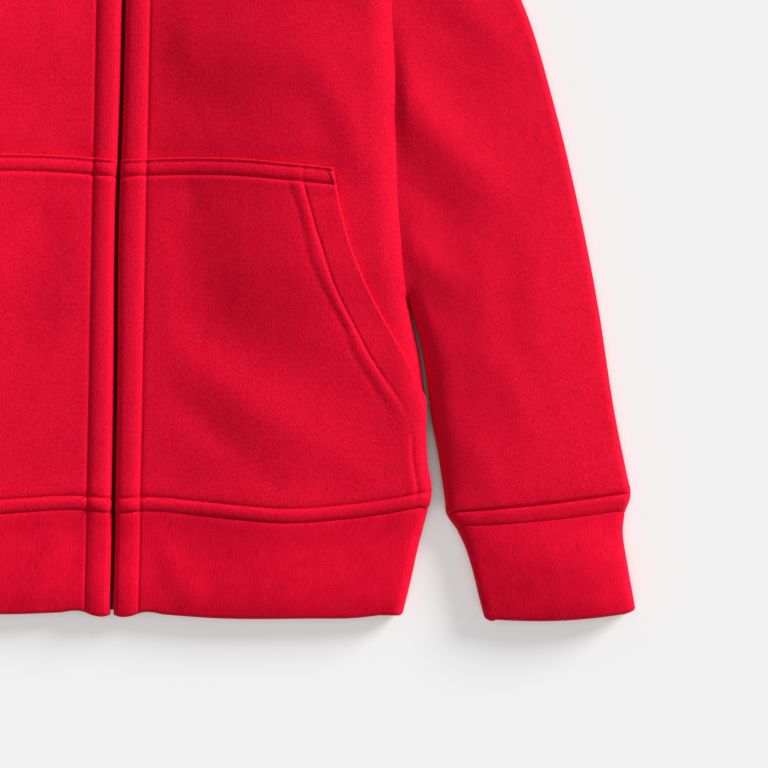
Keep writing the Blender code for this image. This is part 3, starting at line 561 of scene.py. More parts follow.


# large soft forms: each row is a run of plan points with lift and width
bodyCreases = (
    # points along the crest, lift, half width
    (((13, 280), (57, 277), (84, 276), (106, 274)), 2.4, 20),
    (((30, 252), (60, 240)), -0.4, 12),
    (((95, 267), (109, 243), (117, 222)), 1.5, 9),
    (((19, 240), (23, 226)), -0.4, 7),
    (((33, 213), (36, 199)), -0.5, 6),
    (((16, 207), (18, 164)), 0.7, 7),
    (((35, 190), (46, 140), (89, 121), (126, 105)), -1.9, 17),
    (((16, 145), (48, 115), (85, 92), (119, 74)), 0.9, 10),
    (((25, 108), (53, 87), (76, 68)), -0.8, 8),
    (((19, 36), (31, 23), (43, 8)), 1.6, 6),
    (((88, 330), (112, 316), (128, 306)), 1.2, 12),
    (((72, 70), (74, 10)), 1.3, 28),
    (((96, 190), (100, 150), (118, 112)), 1, 18),
)
sleeveCreases = (
    (((125, 278), (138, 254), (149, 240), (162, 227), (177, 214)), 3.1, 13),
    (((140, 214), (152, 203), (160, 196)), -0.8, 8),
    (((139, 184), (149, 177), (160, 166)), 1.6, 8),
    (((187, 182), (192, 124)), -0.35, 7),
    (((201, 187), (206, 119)), 0.45, 8),
    (((174, 176), (179, 118)), 0.4, 7),
    (((187, 128), (201, 95)), 0.8, 7),
    (((157, 133), (162, 89)), 0.7, 6),
    (((172, 89), (187, 60)), 0.9, 8),
    (((140, 318), (162, 304), (184, 282)), 1.3, 12),
    (((140, 302), (154, 293), (174, 276)), -0.5, 9),
)
hoodCreases = (
    (((20, 470), (52, 452), (80, 446)), 1.4, 10),
    (((60, 560), (84, 520), (92, 486)), 1, 9),
    (((30, 392), (52, 404), (70, 424)), 1.5, 8),
    (((58, 510), (74, 484), (78, 462)), -0.9, 8),
)


def resettled(creases, seed):
    # like the first side's creases, each one moved and weakened by chance
    turn = np.random.default_rng(seed)
    changed = []
    for crest, lift, width in creases:
        aside, up = turn.uniform(-4.0, 4.0), turn.uniform(-13.0, 13.0)
        changed.append(([(x + aside, y + up) for x, y in crest],
                        lift * turn.uniform(0.7, 1.25), width * turn.uniform(0.9, 1.15)))
    return changed


# hand 1 is the wearer's left and -1 the right
sides = (("Left", 1), ("Right", -1))
creases = {piece: {1: rows, -1: resettled(rows, seed)} for piece, rows, seed in (
    ("body", bodyCreases, 41), ("sleeve", sleeveCreases, 42), ("hood", hoodCreases, 43))}


def creased(x, y, piece, hand):
    # lift at each point, from its distance to every crest; a crease fades at its two ends
    total = np.zeros(np.shape(x))
    for crest, lift, width in creases[piece][hand]:
        crest = np.array(crest)
        steps = np.diff(crest, axis=0)
        lengths = np.linalg.norm(steps, axis=1)
        along = np.concatenate([[0.0], np.cumsum(lengths)])
        nearest = np.full(np.shape(x), 1e9)
        place = np.zeros(np.shape(x))
        for start, step, length, done in zip(crest[:-1], steps, lengths, along[:-1]):
            share = ((x - start[0]) * step[0] + (y - start[1]) * step[1]) / length ** 2
            held = np.clip(share, 0.0, 1.0)
            away = np.hypot(x - start[0] - held * step[0], y - start[1] - held * step[1])
            closer = away < nearest
            nearest = np.where(closer, away, nearest)
            place = np.where(closer, (done + held * length) / along[-1], place)
        strength = 0.55 + 0.45 * np.sin(math.pi * np.clip(place, 0.0, 1.0))
        total = total + lift * strength * swell(nearest, width)
    return total


def ripple(x, y, size, seed, waves=7):
    # slight unevenness, the same on each run: a few long waves in different directions
    turn = np.random.default_rng(seed)
    total = np.zeros(np.shape(x))
    for _ in range(waves):
        angle, phase = turn.uniform(0, math.pi), turn.uniform(0, 6.3)
        length = size * turn.uniform(0.6, 1.7)
        reach = x * math.cos(angle) + y * math.sin(angle)
        total = total + np.sin(reach / length * 2 * math.pi + phase)
    return total / waves


def rippled(lift, x, y, rows, hand):
    for height, size, seed in rows:
        lift = lift + height * ripple(x, y, size, seed - hand)
    return lift


# cloth meshes
def wallMesh(name, outer, inner, across, along, ring, look):
    # closed wall between two grids of points; across and along are knit coordinates
    rows, columns = outer.shape[:2]
    points = toFrame(np.concatenate([outer.reshape(-1, 3), inner.reshape(-1, 3)]))
    grid = np.arange(rows * columns).reshape(rows, columns)
    behind = grid + rows * columns
    here = np.arange(columns if ring else columns - 1)
    there = (here + 1) % columns
    top = np.stack([grid[:-1][:, here], grid[:-1][:, there], grid[1:][:, there],
                    grid[1:][:, here]], axis=-1).reshape(-1, 4)
    reverse = [0, 3, 2, 1]
    rims = [np.stack([grid[0, there], grid[0, here], behind[0, here], behind[0, there]], -1),
            np.stack([grid[-1, here], grid[-1, there], behind[-1, there], behind[-1, here]], -1)]
    if not ring:
        rims += [np.stack([grid[:-1, 0], grid[1:, 0], behind[1:, 0], behind[:-1, 0]], -1),
                 np.stack([grid[1:, -1], grid[:-1, -1], behind[:-1, -1], behind[1:, -1]], -1)]
    faces = np.concatenate([top, top[:, reverse] + rows * columns] + rims)
    spread = np.stack([across, along], axis=-1) * mm
    edge = spread.reshape(-1, 2)[np.concatenate(rims) % (rows * columns)]
    if ring:
        # the last face of a ring runs on past the last column, so its knit isn't pulled back
        closing = spread[:, -1:] + (spread[:, -1:] - spread[:, -2:-1])
        spread = np.concatenate([spread, closing], axis=1)
    knit = np.stack([spread[:-1, :-1], spread[:-1, 1:], spread[1:, 1:], spread[1:, :-1]],
                    axis=2).reshape(-1, 4, 2)
    loops = np.concatenate([knit, knit[:, reverse], edge]).reshape(-1, 2)
    return clothObject(name, points, faces, loops, look)


def clothObject(name, points, faces, loops, look):
    mesh = bpy.data.meshes.new(name)
    mesh.from_pydata(points.tolist(), [], faces.tolist())
    mesh.uv_layers.new(name="cloth").data.foreach_set("uv", loops.astype(np.float32).ravel())
    first, second, third, fourth = np.moveaxis(points[faces], 1, 0)
    if np.sum(first * (np.cross(second, third) + np.cross(third, fourth))) < 0:
        mesh.flip_normals()  # the volume inside came out negative
    mesh.materials.append(look)
    made = bpy.data.objects.new(name, mesh)
    bpy.context.collection.objects.link(made)
    select(made)
    bpy.ops.object.shade_smooth_by_angle(angle=math.radians(60))
    return made


def select(*objects):
    bpy.ops.object.select_all(action="DESELECT")
    for one in objects:
        one.select_set(True)
    bpy.context.view_layer.objects.active = objects[0]


def turnOver(piece):
    # makes the piece the mirror image of itself, for the wearer's right
    mesh = piece.data
    points = np.zeros(len(mesh.vertices) * 3, np.float32)
    mesh.vertices.foreach_get("co", points)
    points[0::3] *= -1.0
    mesh.vertices.foreach_set("co", points)
    mesh.flip_normals()


def lengthAlong(points, axis):
    # running length along a grid's rows or columns
    steps = np.linalg.norm(np.diff(points, axis=axis), axis=-1)
    start = np.zeros_like(np.take(steps, [0], axis=axis))
    return np.concatenate([start, np.cumsum(steps, axis=axis)], axis=axis)


def spaced(marks, step, fine=(), fineStep=0.6, reach=2.4):
    # values from the first mark to the last, closer together round the fine places
    spots = [float(marks[0])]
    while spots[-1] < marks[-1] - 1e-6:
        near = min([abs(spots[-1] - place) for place in fine], default=1e9)
        size = fineStep + (step - fineStep) * float(past(near, reach * 0.6, reach * 2.5))
        stop = min([place for place in (*marks, *fine) if place > spots[-1] + 1e-6])
        spots.append(min(spots[-1] + size, stop))
    return np.array(spots)


def declare(piece, node):
    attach(piece, "garment")
    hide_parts(node)


def pair(name, build, slot, flat, area, *carriers):
    # the wearer's left piece and the right one, which is built as a left one and turned over;
    # the carriers are not used
    for side, hand in sides:
        piece = build(name + side, hand)
        if hand < 0:
            turnOver(piece)
        declare(piece, name + "_" + side.lower())


# front panels
def frontEdge(height):
    start, apart, halfGap = body["zipOpens"]
    return body["edge"] + (halfGap - body["edge"]) * past(height, start, apart)


def swayed(points, hand):
    # both edges of the zip opening wander together, so one front narrows as the other widens
    sway = hand * curveAt(body["gapSway"], points[..., 1])
    share = np.clip((body["stitch"] - points[..., 0]) / (body["stitch"] - body["edge"]), 0.0, 1.0)
    moved = points.copy()
    moved[..., 0] -= sway * share
    return moved


def ridgeLift(x, height):
    edge = frontEdge(height)
    share = (x - edge) / (body["stitch"] - edge)
    shares = [row[0] for row in body["ridge"]]
    inside = curveAt(body["ridge"], np.clip(share, shares[0], shares[-1]))
    beyond = body["ridge"][-1][1] * np.maximum(0.0, 1 - (x - body["stitch"]) / 1.5)
    return np.where(share <= 1, inside, beyond)


def neckHeight(x, front):
    neckX, neckY = body["neckPoint"]
    if front:
        start = body["zipOpens"][2]
        share = np.maximum(0.0, (x - start) / (neckX - start))
        neck = body["frontNeck"] + (neckY - body["frontNeck"]) * share ** body["neckCurve"]
    else:
        neck = body["backNeck"] + (neckY - body["backNeck"]) * (x / neckX) ** 2
    tipX, tipY = body["shoulderPoint"]
    slope = neckY + (tipY - neckY) * (x - neckX) / (tipX - neckX)
    return np.where(x <= neckX, neck, slope)


def armholeRise(y):
    # front and sleeve meet at this lift along the armhole
    return body["armholeLift"] * past(y - body["underarm"], *body["armholeRises"])


def bodyForm(x, y, hand):
    # lift of the whole front: a low dome from the zip to the side, creases and unevenness
    inside = np.clip((sideAt(y) - x) / body["rim"], 0.0, 1.0)
    rim = 1 - (1 - inside) ** body["rimCurve"]
    low, gained = body["crown"]
    crown = low + gained * past(y, *body["crownRises"])
    falling = 1.0 - body["fall"] * past(x, *body["falls"])
    dome = crown * falling * rim + armholeRise(y)
    soft = rippled(creased(x, y, "body", hand), x, y, body["ripples"], hand)
    return dome * past(x, *body["domeStarts"]) + soft * past(x, *body["softStarts"])


def pocketTop(x):
    return curveAt(pocket["top"], x)


def frontLift(x, y, hand):
    above = y - pocketTop(x)
    covered = np.where(above > 0, swell(above, body["pressedFade"]), 1.0)
    covered = covered * past(x, *body["pressedStarts"]) * (1 - past(x, *body["pressedEnds"]))
    lift = ridgeLift(x, y) + bodyForm(x, y, hand) - body["pressed"] * covered
    deep, wide = body["neckSeam"]
    neck = deep * swell(neckHeight(x, True) - y, wide) * (x < body["neckPoint"][0])
    return lift - neck


def bodyMasters(front):
    # heights of the rows that the panel's rows are spread between
    def between(centre, side):
        return lambda x: centre + (side - centre) * (x / sideAt(side)) ** 2
    rows = [lambda x: seamAt(x) + seamGap / 2, lambda x: seamAt(x) + 12.0]
    rows += [between(*pair) for pair in (
        (107, 107), (155, 157), (176, 174), (192, 190), (238, 225),
        (268.0, 270.0), (298.0, 315.0), (322.0, 345.0))]
    rows += [lambda x: neckHeight(x, front) - 6.0, lambda x: neckHeight(x, front) - seamGap / 2]
    return rows


def panelRow(masters, place, columns):
    # a row's points in plan, from the centre line to the side fold or armhole seam
    first = min(int(place), len(masters) - 2)
    share = place - first

    def height(x):
        return (1 - share) * masters[first](x) + share * masters[first + 1](x)
    end = 140.0
    for _ in range(6):
        level = float(height(end))
        end = float(sideAt(level))
        if level > body["underarm"]:
            end -= seamGap / 2
    x = columns(level, end, float(height(0.0)))
    return x, height(x), level


turns = np.radians(np.linspace(90, 0, 9))  # round the side fold


def frontColumns(level, end, centre):
    edge = float(frontEdge(centre))
    turned = edge + (body["stitch"] - edge) * frontShares
    reach = end - laidRadius - body["stitch"]
    field = body["stitch"] + frontField * reach
    return np.concatenate([turned, field, end - laidRadius * (1 - np.cos(turns[1:]))])


frontShares = np.array([0.0, 0.02, 0.045, 0.075, 0.11, 0.16, 0.22, 0.29, 0.36, 0.43, 0.5, 0.58,
                        0.66, 0.74, 0.82, 0.88, 0.93, 0.965, 1.0])
frontField = np.concatenate([[0.003, 0.007, 0.012, 0.02], np.linspace(0.034, 1.0, 60)])


def panelGrid(masters, places, columns):
    rows = [panelRow(masters, place, columns) for place in places]
    x = np.array([row[0] for row in rows])
    y = np.array([row[1] for row in rows])
    level = np.array([row[2] for row in rows])
    last = np.zeros_like(x, bool)
    last[:, -1] = level <= body["underarm"] + 0.2
    last[-1] |= x[-1] >= body["neckPoint"][0] - 0.01
    return x, y, last


def makeFronts(look):
    masters = bodyMasters(True)
    places = np.concatenate([np.linspace(0, 1, 8)[:-1], np.linspace(1, 10, 130),
                             10 + np.array([0.3, 0.55, 0.75, 0.9, 1.0])])
    x, y, last = panelGrid(masters, places, frontColumns)

    def build(name, hand):
        lift = frontLift(x, y, hand)
        followed, ridged = body["hollow"]
        hollow = np.maximum(lift, -3.0) * followed - np.maximum(ridgeLift(x, y), 0.0) * ridged
        outer, inner = [
            lay(x, y, bodyFolds, 1, depth, risen, last, seamGap / 2)
            for depth, risen in ((0.0, lift), (body["wall"], hollow))]
        return wallMesh(name, swayed(outer, hand), swayed(inner, hand), lengthAlong(outer, 1),
                        y, False, look)
    pair("front", build, "red_fleece", (0.16, 0.36), 0.0480, "backPanel")


# kangaroo pocket, one half on each front
pocket = {
    "gap": 0.35,  # above the front
    "wall": 2.2,
    "top": ((0, 221.6), (14.5, 222.7), (58.2, 223.2), (77.6, 221.8), (103, 219.7)),
    # height, distance of the slanted edge from the centre line
    "opening": (
        (102, 151.5), (106.6, 150.1), (112, 147.6), (122.5, 143.5), (132.1, 138.5),
        (141.7, 132.5), (153.7, 125.5), (165.7, 119.4), (177.8, 114.3), (189.8, 110.2),
        (201.9, 107.1), (211.1, 105.2), (219.7, 103.6)),
    # topstitches of the slanted hem: height, distances from the centre line
    "stitches": (
        (93.5, 145.2, 141), (105.5, 139, 130.6), (117.4, 130.5, 122.6), (129.4, 122.5, 114.6),
        (141.4, 116, 110.2), (153.4, 109.5, 103.6), (165.4, 103.9, 97.1), (177.5, 99.8, 92),
        (189.5, 95.7, 89.4), (201.6, 92.1, 85.7), (212.7, 88.9, 81.4)),
    "topStitches": (2, 8.4),  # below the top edge
    "topGrooves": (0.8, 1.25),  # how deep each row is drawn in
    "sideStitch": 5.4,  # in from the side seam
    "sideDepth": 0.7,
    "sideStarts": (3, 8),  # above the hem band's seam
    "sideEnds": (84, 96),
    "hemPuff": 0.5,
    "hemStitches": ((0.42, 0.6), (0.14, 1.6)),  # how deep and wide each row is drawn in
    "hemTop": (0.35, 8, 10),  # its share at the top edge, and where it grows from there
    "sideAngle": 50.0,
    "weltTop": 12.0,
    "weltHigh": 30.0,  # the welt's form has gone at this height, over the fade below it
    "weltFade": 10.0,
    "opens": (96, 112),  # the slanted hem sets in between these heights
    "slant": 0.8,  # across the slant against straight across
}
pocketOut = -(pocket["gap"] + pocket["wall"])  # depth of its face, outside the front's


def pocketSide(height):
    side = sideAt(height) - laidRadius * (1 - math.cos(math.radians(pocket["sideAngle"])))
    slanted = np.minimum(side, curveAt(pocket["opening"], height))
    return np.where(height < pocket["opening"][0][0], side, slanted)


# a row of stitches: a narrow line drawn in, with the cloth swelling beside it
sewnRow = {"depth": 0.62, "width": 0.75, "swell": 0.22, "swellAt": 2.6, "swellWidth": 1.8}

# seam allowance under the cloth between a seam and its topstitch
welt = {
    "puff": 0.9,
    "square": 2.4,
    "seam": (0.25, 0.8),  # how deep and how wide the seam is drawn in
    "stitchWidth": 0.7,
    "beyond": (0.35, 5, 4),  # swelling past the topstitch: lift, distance, width
}


def groove(distance, width=sewnRow["width"]):
    beside = swell(np.abs(distance) - sewnRow["swellAt"], sewnRow["swellWidth"])
    return sewnRow["swell"] * beside - sewnRow["depth"] * swell(distance, width)


def weltLift(above, gauge, depth=0.8):
    puffed = welt["puff"] * np.clip(1 - np.abs(above / gauge * 2 - 1) ** welt["square"], 0, 1)
    (deep, wide), (lift, beyond, width) = welt["seam"], welt["beyond"]
    drawn = depth * groove(above - gauge, welt["stitchWidth"]) - deep * swell(above, wide)
    return puffed * (above < gauge) + drawn + lift * swell(above - gauge - beyond, width)


def edgeRound(inside, radius=1.0):
    # how far a turned edge drops at a distance inside it
    near = np.clip(1 - np.asarray(inside, float) / radius, 0, 1)
    return -radius * (1 - np.sqrt(1 - near * near))


def pocketLift(x, y, hand):
    seam = seamAt(x) + seamGap
    side = pocketSide(y)
    lift = ridgeLift(x, y) + bodyForm(x, y, hand)
    opened = past(y, *pocket["opens"])
    welted = past(seam + pocket["weltHigh"] - y, 0.0, pocket["weltFade"])
    lift = lift + weltLift(y - seam, body["gauge"]) * welted
    bending = pocket["slant"]
    first, second = [curveAt(pocket["stitches"], y, column) for column in (1, 2)]
    between = np.clip((x - second) / (first - second), 0.0, 1.0)
    hem = pocket["hemPuff"] * np.sin(math.pi * between ** 1.3) ** 0.8
    for line, (depth, width) in zip((first, second), pocket["hemStitches"]):
        hem = hem - depth * swell((x - line) * bending, width)
    least, starts, ends = pocket["hemTop"]
    lift = lift + hem * opened * (least + (1 - least) * past(pocketTop(x) - y, starts, ends))
    for inside, strength in zip(pocket["topStitches"], pocket["topGrooves"]):
        lift = lift + groove(pocketTop(x) - y - inside) * strength
    sewn = pocket["sideDepth"] * groove(side - x - pocket["sideStitch"])
    sewn = sewn * (1 - past(y, *pocket["sideEnds"]))
    lift = lift + sewn * past(y - seam, *pocket["sideStarts"])
    lift = lift + edgeRound(pocketTop(x) - y)
    return lift + edgeRound((side - x) * bending) * opened


pocketInside = spaced((0.0, 1.0, 38.0), 2.0, (0.0, 8.0, 15.6, 22.6, 27.0), 0.45, 3.0)[::-1]


def makePockets(look):
    rows = [(0, value) for value in spaced((0.0, pocket["weltTop"]), 1.2,
                                           (0.0, body["gauge"]), 0.4, 1.2)]
    below = spaced((0.0, 1.0, 16.0), 1.6, (0.0, *pocket["topStitches"]), 0.4, 1.2)[::-1]
    middle = np.linspace(0, 1, 78)[1:-1]
    rows += [(1, value) for value in middle] + [(2, value) for value in below]
    xs, ys = [], []
    for kind, value in rows:
        def height(x):
            seam = seamAt(x) + seamGap
            low, high = seam + pocket["weltTop"], pocketTop(x) - below[0]
            if kind == 0:
                return seam + value
            return low + (high - low) * value if kind == 1 else pocketTop(x) - value
        end = 130.0
        for _ in range(12):
            end = 0.5 * end + 0.5 * float(pocketSide(float(height(end))))
        edge = body["edge"]
        turned = edge + (body["stitch"] - edge) * frontShares
        hem = end - pocketInside
        field = body["stitch"] + (hem[0] - body["stitch"]) * np.concatenate(
            [[0.005, 0.012, 0.02], np.linspace(0.04, 1.0, 30)])
        x = np.concatenate([turned, field, hem[1:]])
        xs.append(x)
        ys.append(height(x))
    x, y = np.array(xs), np.array(ys)

    def build(name, hand):
        under = ridgeLift(x, y) + bodyForm(x, y, hand)
        outer = lay(x, y, bodyFolds, 1, pocketOut, pocketLift(x, y, hand))
        inner = lay(x, y, bodyFolds, 1, -pocket["gap"], under)
        return wallMesh(name, swayed(outer, hand), swayed(inner, hand), lengthAlong(outer, 1),
                        y, False, look)
    pair("pocket", build, "red_fleece", (0.155, 0.175), 0.0238, "front*")


# back panel
def backColumns(level, end, centre):
    flat = np.linspace(0.0, 1.0, 46) * (end - laidRadius)
    return np.concatenate([flat, end - laidRadius * (1 - np.cos(turns[1:]))])


def makeBack(look):
    masters = bodyMasters(False)
    places = np.concatenate([np.linspace(0, 10, 84), [10.5, 11.0]])
    x, y, last = panelGrid(masters, places, backColumns)
    deep, wide = body["backStitch"]
    lift = -deep * swell(y - seamAt(x) - body["gauge"], wide)
    walls = []
    for depth, risen in ((0.0, lift), (body["wall"], 0.0)):
        half = lay(x, y, bodyFolds, -1, depth, risen, last, seamGap / 2)
        walls.append(np.concatenate([half[:, :0:-1] * (-1.0, 1.0, 1.0), half], axis=1))
    tall = np.concatenate([y[:, :0:-1], y], axis=1)
    back = wallMesh("backPanel", *walls, lengthAlong(walls[0], 1), tall, False, look)
    declare(back, "back_panel")


# bands of ribbing, folded double
ribbing = {
    "pitch": 1.2,
    "rise": 0.05,
    "thick": 4.0,
}
band = {
    "radius": 5.1,
    "ridge": 0.75,
    "backEdge": 3.0,
    "seamRise": (0.9, 7),  # the band swells towards its seam, over this width
    "belly": (1.3, 13),  # and in its lower half, about this height
    "formRises": (-30, 40),  # heights between which it takes on the front's form
    "top": 56.0,  # at the side
    # distance from the centre line, height of the lower edge
    "edge": ((0.9, 0.9), (4, 0), (9, 0.4), (14, 2.2), (28, 1.5), (52, 0.3),
             (104, 0.9), (130, 1.8), (141, 3.2)),
}


def ribSection(length):
    # share of the way round a doubled band: distance from its lower fold, depth in the wall
    half = ribbing["thick"] / 2
    face = length - np.array([0.0, 0.5, 1.1, 2.0, 3.4, 5.4, 8.0, 12.0, 17.0, 23.0, 30.0, 37.0])
    face = face[face > half + 1.5]
    drop = np.array([0.3, 0.16, 0.06, 0.02] + [0.0] * (len(face) - 4))
    angles = np.radians(np.linspace(0, 180, 9))
    turnedOut = half - half * np.sin(angles)
    turnedIn = half - half * np.cos(angles)
    behind = np.array([length * 0.3, length * 0.7, length - 1.2, length])
    back = ribbing["thick"] + np.array([0.0, 0.0, 0.0, -0.6])
    return (np.concatenate([face, turnedOut, behind]),
            np.concatenate([drop, turnedIn, back]))


def ribWave(along, reach):
    # fine ribs, uneven in height along the band
    uneven = 0.75 + 0.25 * np.sin(along * 0.31) * np.sin(reach * 0.09 + along * 0.05)
    return ribbing["rise"] * uneven * np.sin(along / ribbing["pitch"] * 2 * math.pi)


def sweptMesh(name, sections, across, along, ring, look):
    # closed sections one after another; across runs with the sections, along round each
    stations, size = sections.shape[:2]
    points = toFrame(sections.reshape(-1, 3))
    grid = np.arange(stations * size).reshape(stations, size)
    here = np.arange(stations if ring else stations - 1)
    there = (here + 1) % stations
    around = np.arange(size)
    onward = (around + 1) % size
    faces = np.stack([grid[here][:, around], grid[here][:, onward], grid[there][:, onward],
                      grid[there][:, around]], axis=-1).reshape(-1, 4)
    step = across[1] - across[0]
    wide = np.concatenate([across, [across[-1] + step]])
    tall = np.concatenate([along, along[:1]])
    low, high = wide[here][:, None], wide[here + 1][:, None]
    corners = [(low, tall[around]), (low, tall[onward]), (high, tall[onward]),
               (high, tall[around])]
    loops = np.stack([np.stack(np.broadcast_arrays(u, v[None]), axis=-1) for u, v in corners],
                     axis=2).reshape(-1, 2) * mm
    if not ring:
        # each open end is closed by a row of faces across the section
        k = np.arange(size // 2 - 1)
        caps = np.stack([k, k + 1, size - 2 - k, size - 1 - k], axis=-1)
        ends = np.concatenate([grid[0][caps[:, ::-1]], grid[-1][caps]])
        faces = np.concatenate([faces, ends])
        loops = np.concatenate([loops, np.zeros((len(ends) * 4, 2))])
    return clothObject(name, points, faces, loops, look)


bandSide = float(sideAt(band["top"]))
flatEnd = bandSide - band["radius"]


def makeBand(look):
    radius = band["radius"]
    step = ribbing["pitch"] / 4
    front = np.arange(float(frontEdge(0.0)), flatEnd, step)
    angles = np.arange(math.pi / 2, -math.pi / 2, -step / radius)
    behind = np.arange(flatEnd, 0.0, -step)
    above, depth = ribSection(float(seamAt(60.0)))
    halves = []
    for hand in (1, -1):
        sections = []
        for kind, values in (("front", front), ("side", angles), ("back", behind)):
            for value in values:
                sections.append(bandSection(kind, value, above / above.max(), depth,
                                            len(sections) * step, hand))
        halves.append(np.array(sections) * np.array((hand, 1.0, 1.0)))
    whole = np.concatenate([halves[0], halves[1][::-1]])
    across = np.arange(len(whole)) * step
    made = sweptMesh("hemBand", whole, across, above, False, look)
    declare(made, "hem_band")


def bandSection(kind, value, shares, depth, along, hand):
    radius = band["radius"]
    if kind == "side":
        flatX = bandSide - radius * (1 - math.cos(value))
        share = (1 + math.sin(value)) / 2
    else:
        flatX = value
        share = 1.0 if kind == "front" else 0.0
    seam = float(seamAt(flatX)) - seamGap / 2
    foot = band["backEdge"] + (float(curveAt(band["edge"], flatX)) - band["backEdge"]) * share
    height = foot + shares * (seam - foot)
    fold = sideAt(height)
    outside = np.clip(1 - depth / (ribbing["thick"] / 2), 0, 1)
    deep = depth - ribWave(along, height) * outside
    if kind == "side":
        x = fold - radius + (radius - deep) * math.cos(value)
        z = (radius - deep) * math.sin(value)
        facing = max(math.sin(value), 0.0)
    else:
        reach = (fold - radius) / flatEnd
        x = np.full_like(height, value) if value <= body["stitch"] else value * (
            reach + (1 - reach) * (1 - past(value, body["stitch"], body["stitch"] + 20.0)))
        facing = 1.0 if kind == "front" else 0.0
        z = (2.0 * facing - 1.0) * (radius - deep)
    wavy = bodyForm(x, height, hand) * past(height, *band["formRises"])
    (seamRise, seamWide), (belly, bellyAt) = band["seamRise"], band["belly"]
    wavy = wavy + seamRise * swell(seam - height, seamWide)
    wavy = wavy + belly * swell(height - bellyAt, bellyAt)
    wavy = wavy + band["ridge"] * ridgeLift(x, 0.0)
    z = np.maximum(z + wavy * outside * facing, -radius)
    return np.stack([x, height, radius + z], axis=-1)


# sleeves and cuffs
def stationEnds(table, number):
    # ends of the line across a sleeve or cuff at a station, and the ways in from them
    ends = []
    near = (max(number - 0.05, table[0][0]), min(number + 0.05, table[-1][0]))
    for column, turn in ((1, 1.0), (3, -1.0)):
        before, after = [spotAt(table, at, column) for at in near]
        along = (after - before) / np.linalg.norm(after - before)
        ends.append((spotAt(table, number, column), turn * np.array((-along[1], along[0]))))
    return ends


def acrossPlan(ends, radius, shares):
    # plan points from the inner fold to the outer fold
    (inner, innerWay), (outer, outerWay) = ends
    bends = radius * (1 - np.cos(turns[::-1]))
    near = inner + innerWay * bends[:, None]
    far = (outer + outerWay * bends[:, None])[::-1]
    between = near[-1] + (far[0] - near[-1]) * np.asarray(shares)[:, None]
    return np.concatenate([near, between, far])


def placeAlong(plan):
    # share of the way across, from the inner fold to the outer
    run = lengthAlong(plan[None], 1)[0]
    return run / run[-1]


def armholePlan(radius, shares):
    low, high = body["underarm"], body["shoulderPoint"][1]
    bends = radius * (1 - np.cos(turns[::-1]))
    heights = np.concatenate([low + bends, low + radius + (high - low - 2 * radius) * shares,
                              (high - bends)[::-1]])
    return np.stack([sideAt(heights) + seamGap / 2, heights], axis=-1)


def tubeRing(plan, folds, depth, lift, way=None, square=2.0):
    # points round a laid tube: along its upper layer, then back along the lower one
    ends = np.zeros(len(plan), bool)
    ends[[0, -1]] = True
    turned = None if way is None else (way, np.arange(len(plan)) == 0)
    upper = lay(plan[:, 0], plan[:, 1], folds, 1, depth, lift, ends, 0.0, turned, square)
    lower = lay(plan[1:-1, 0], plan[1:-1, 1], folds, -1, depth, square=square)[::-1]
    return np.concatenate([upper, lower])


def sleeveCrown(share, number):
    # lift of the plain sleeve, by the share of the way across from its inner fold
    lower = past(number, *sleeve["crestMoves"])
    start, moved = sleeve["crest"]
    crest = start + moved * lower
    least, gained, lost = sleeve["swell"]
    gained = gained * past(number, *sleeve["swellRises"])
    tall = sleeve["dome"] * (least + gained - lost * past(number, *sleeve["swellFalls"]))
    steep, width = sleeve["steep"]
    steep = steep * lower
    rising = steep * (1 - np.exp(-share / width)) + (1 - steep) * np.sin(
        0.5 * math.pi * np.clip(share / crest, 0.0, 1.0))
    beyond = np.clip((share - crest) / (1 - crest), 0.0, 1.0)
    straight, curved = sleeve["sunkTo"]
    falling = 1.0 - straight * beyond - curved * beyond ** 2
    return tall * np.where(share < crest, rising, falling)


def sleeveLift(x, y, share, number, hand):
    # share goes across from the inner to the outer fold
    low = body["underarm"]
    seamAway = np.where(y > low, x - sideAt(y), np.hypot(x - sideAt(low), y - low))
    above = np.maximum(lastSleeve - number, 0.0) * sleeve["gauge"]
    seamed = np.exp(-np.maximum(seamAway, 0.0) / sleeve["seamReach"])
    form = sleeveCrown(share, number) * (1 - seamed) + armholeRise(y) * seamed
    form = form + creased(x, y, "sleeve", hand) * past(seamAway, *sleeve["creaseStarts"])
    form = rippled(form, x, y, sleeve["ripples"], hand)
    least = sleeve["heldAtSeam"]
    held = least + (1 - least) * past(above, 0.0, sleeve["heldOver"])
    lift, middle, width = sleeve["beyondWelt"]
    welt = weltLift(above, sleeve["gauge"], sleeve["weltDepth"])
    welt = welt + lift * swell(above - middle, width)
    return form * held + welt * past(sleeve["weltHigh"] - above, 0.0, sleeve["weltFade"])


sleeveShares = np.linspace(0, 1, 44)[1:-1]


def sleevePlan(number):
    ends = stationEnds(numbered(sleeve["stations"]), number)
    if number < 1:
        inner, way = ends[0]
        ends[0] = (inner, number * way + (1 - number) * np.array((0.0, 1.0)))
    atCuff = float(past(number, 9.0, 10.0))
    for place, (_, way) in enumerate(stationEnds(cuff["stations"], 0.0)):
        turned = (1 - atCuff) * ends[place][1] + atCuff * way
        ends[place] = (ends[place][0], turned / np.linalg.norm(turned))
    plan = acrossPlan(ends, laidRadius, sleeveShares)
    if number < 0.4:
        share = number / 0.4
        plan = (1 - share) * armholePlan(laidRadius, sleeveShares) + share * plan
    bow = cuff["seamBow"] * past(number, 7.0, 10.0) * np.sin(math.pi * placeAlong(plan))
    plan[:, 1] -= bow
    return plan


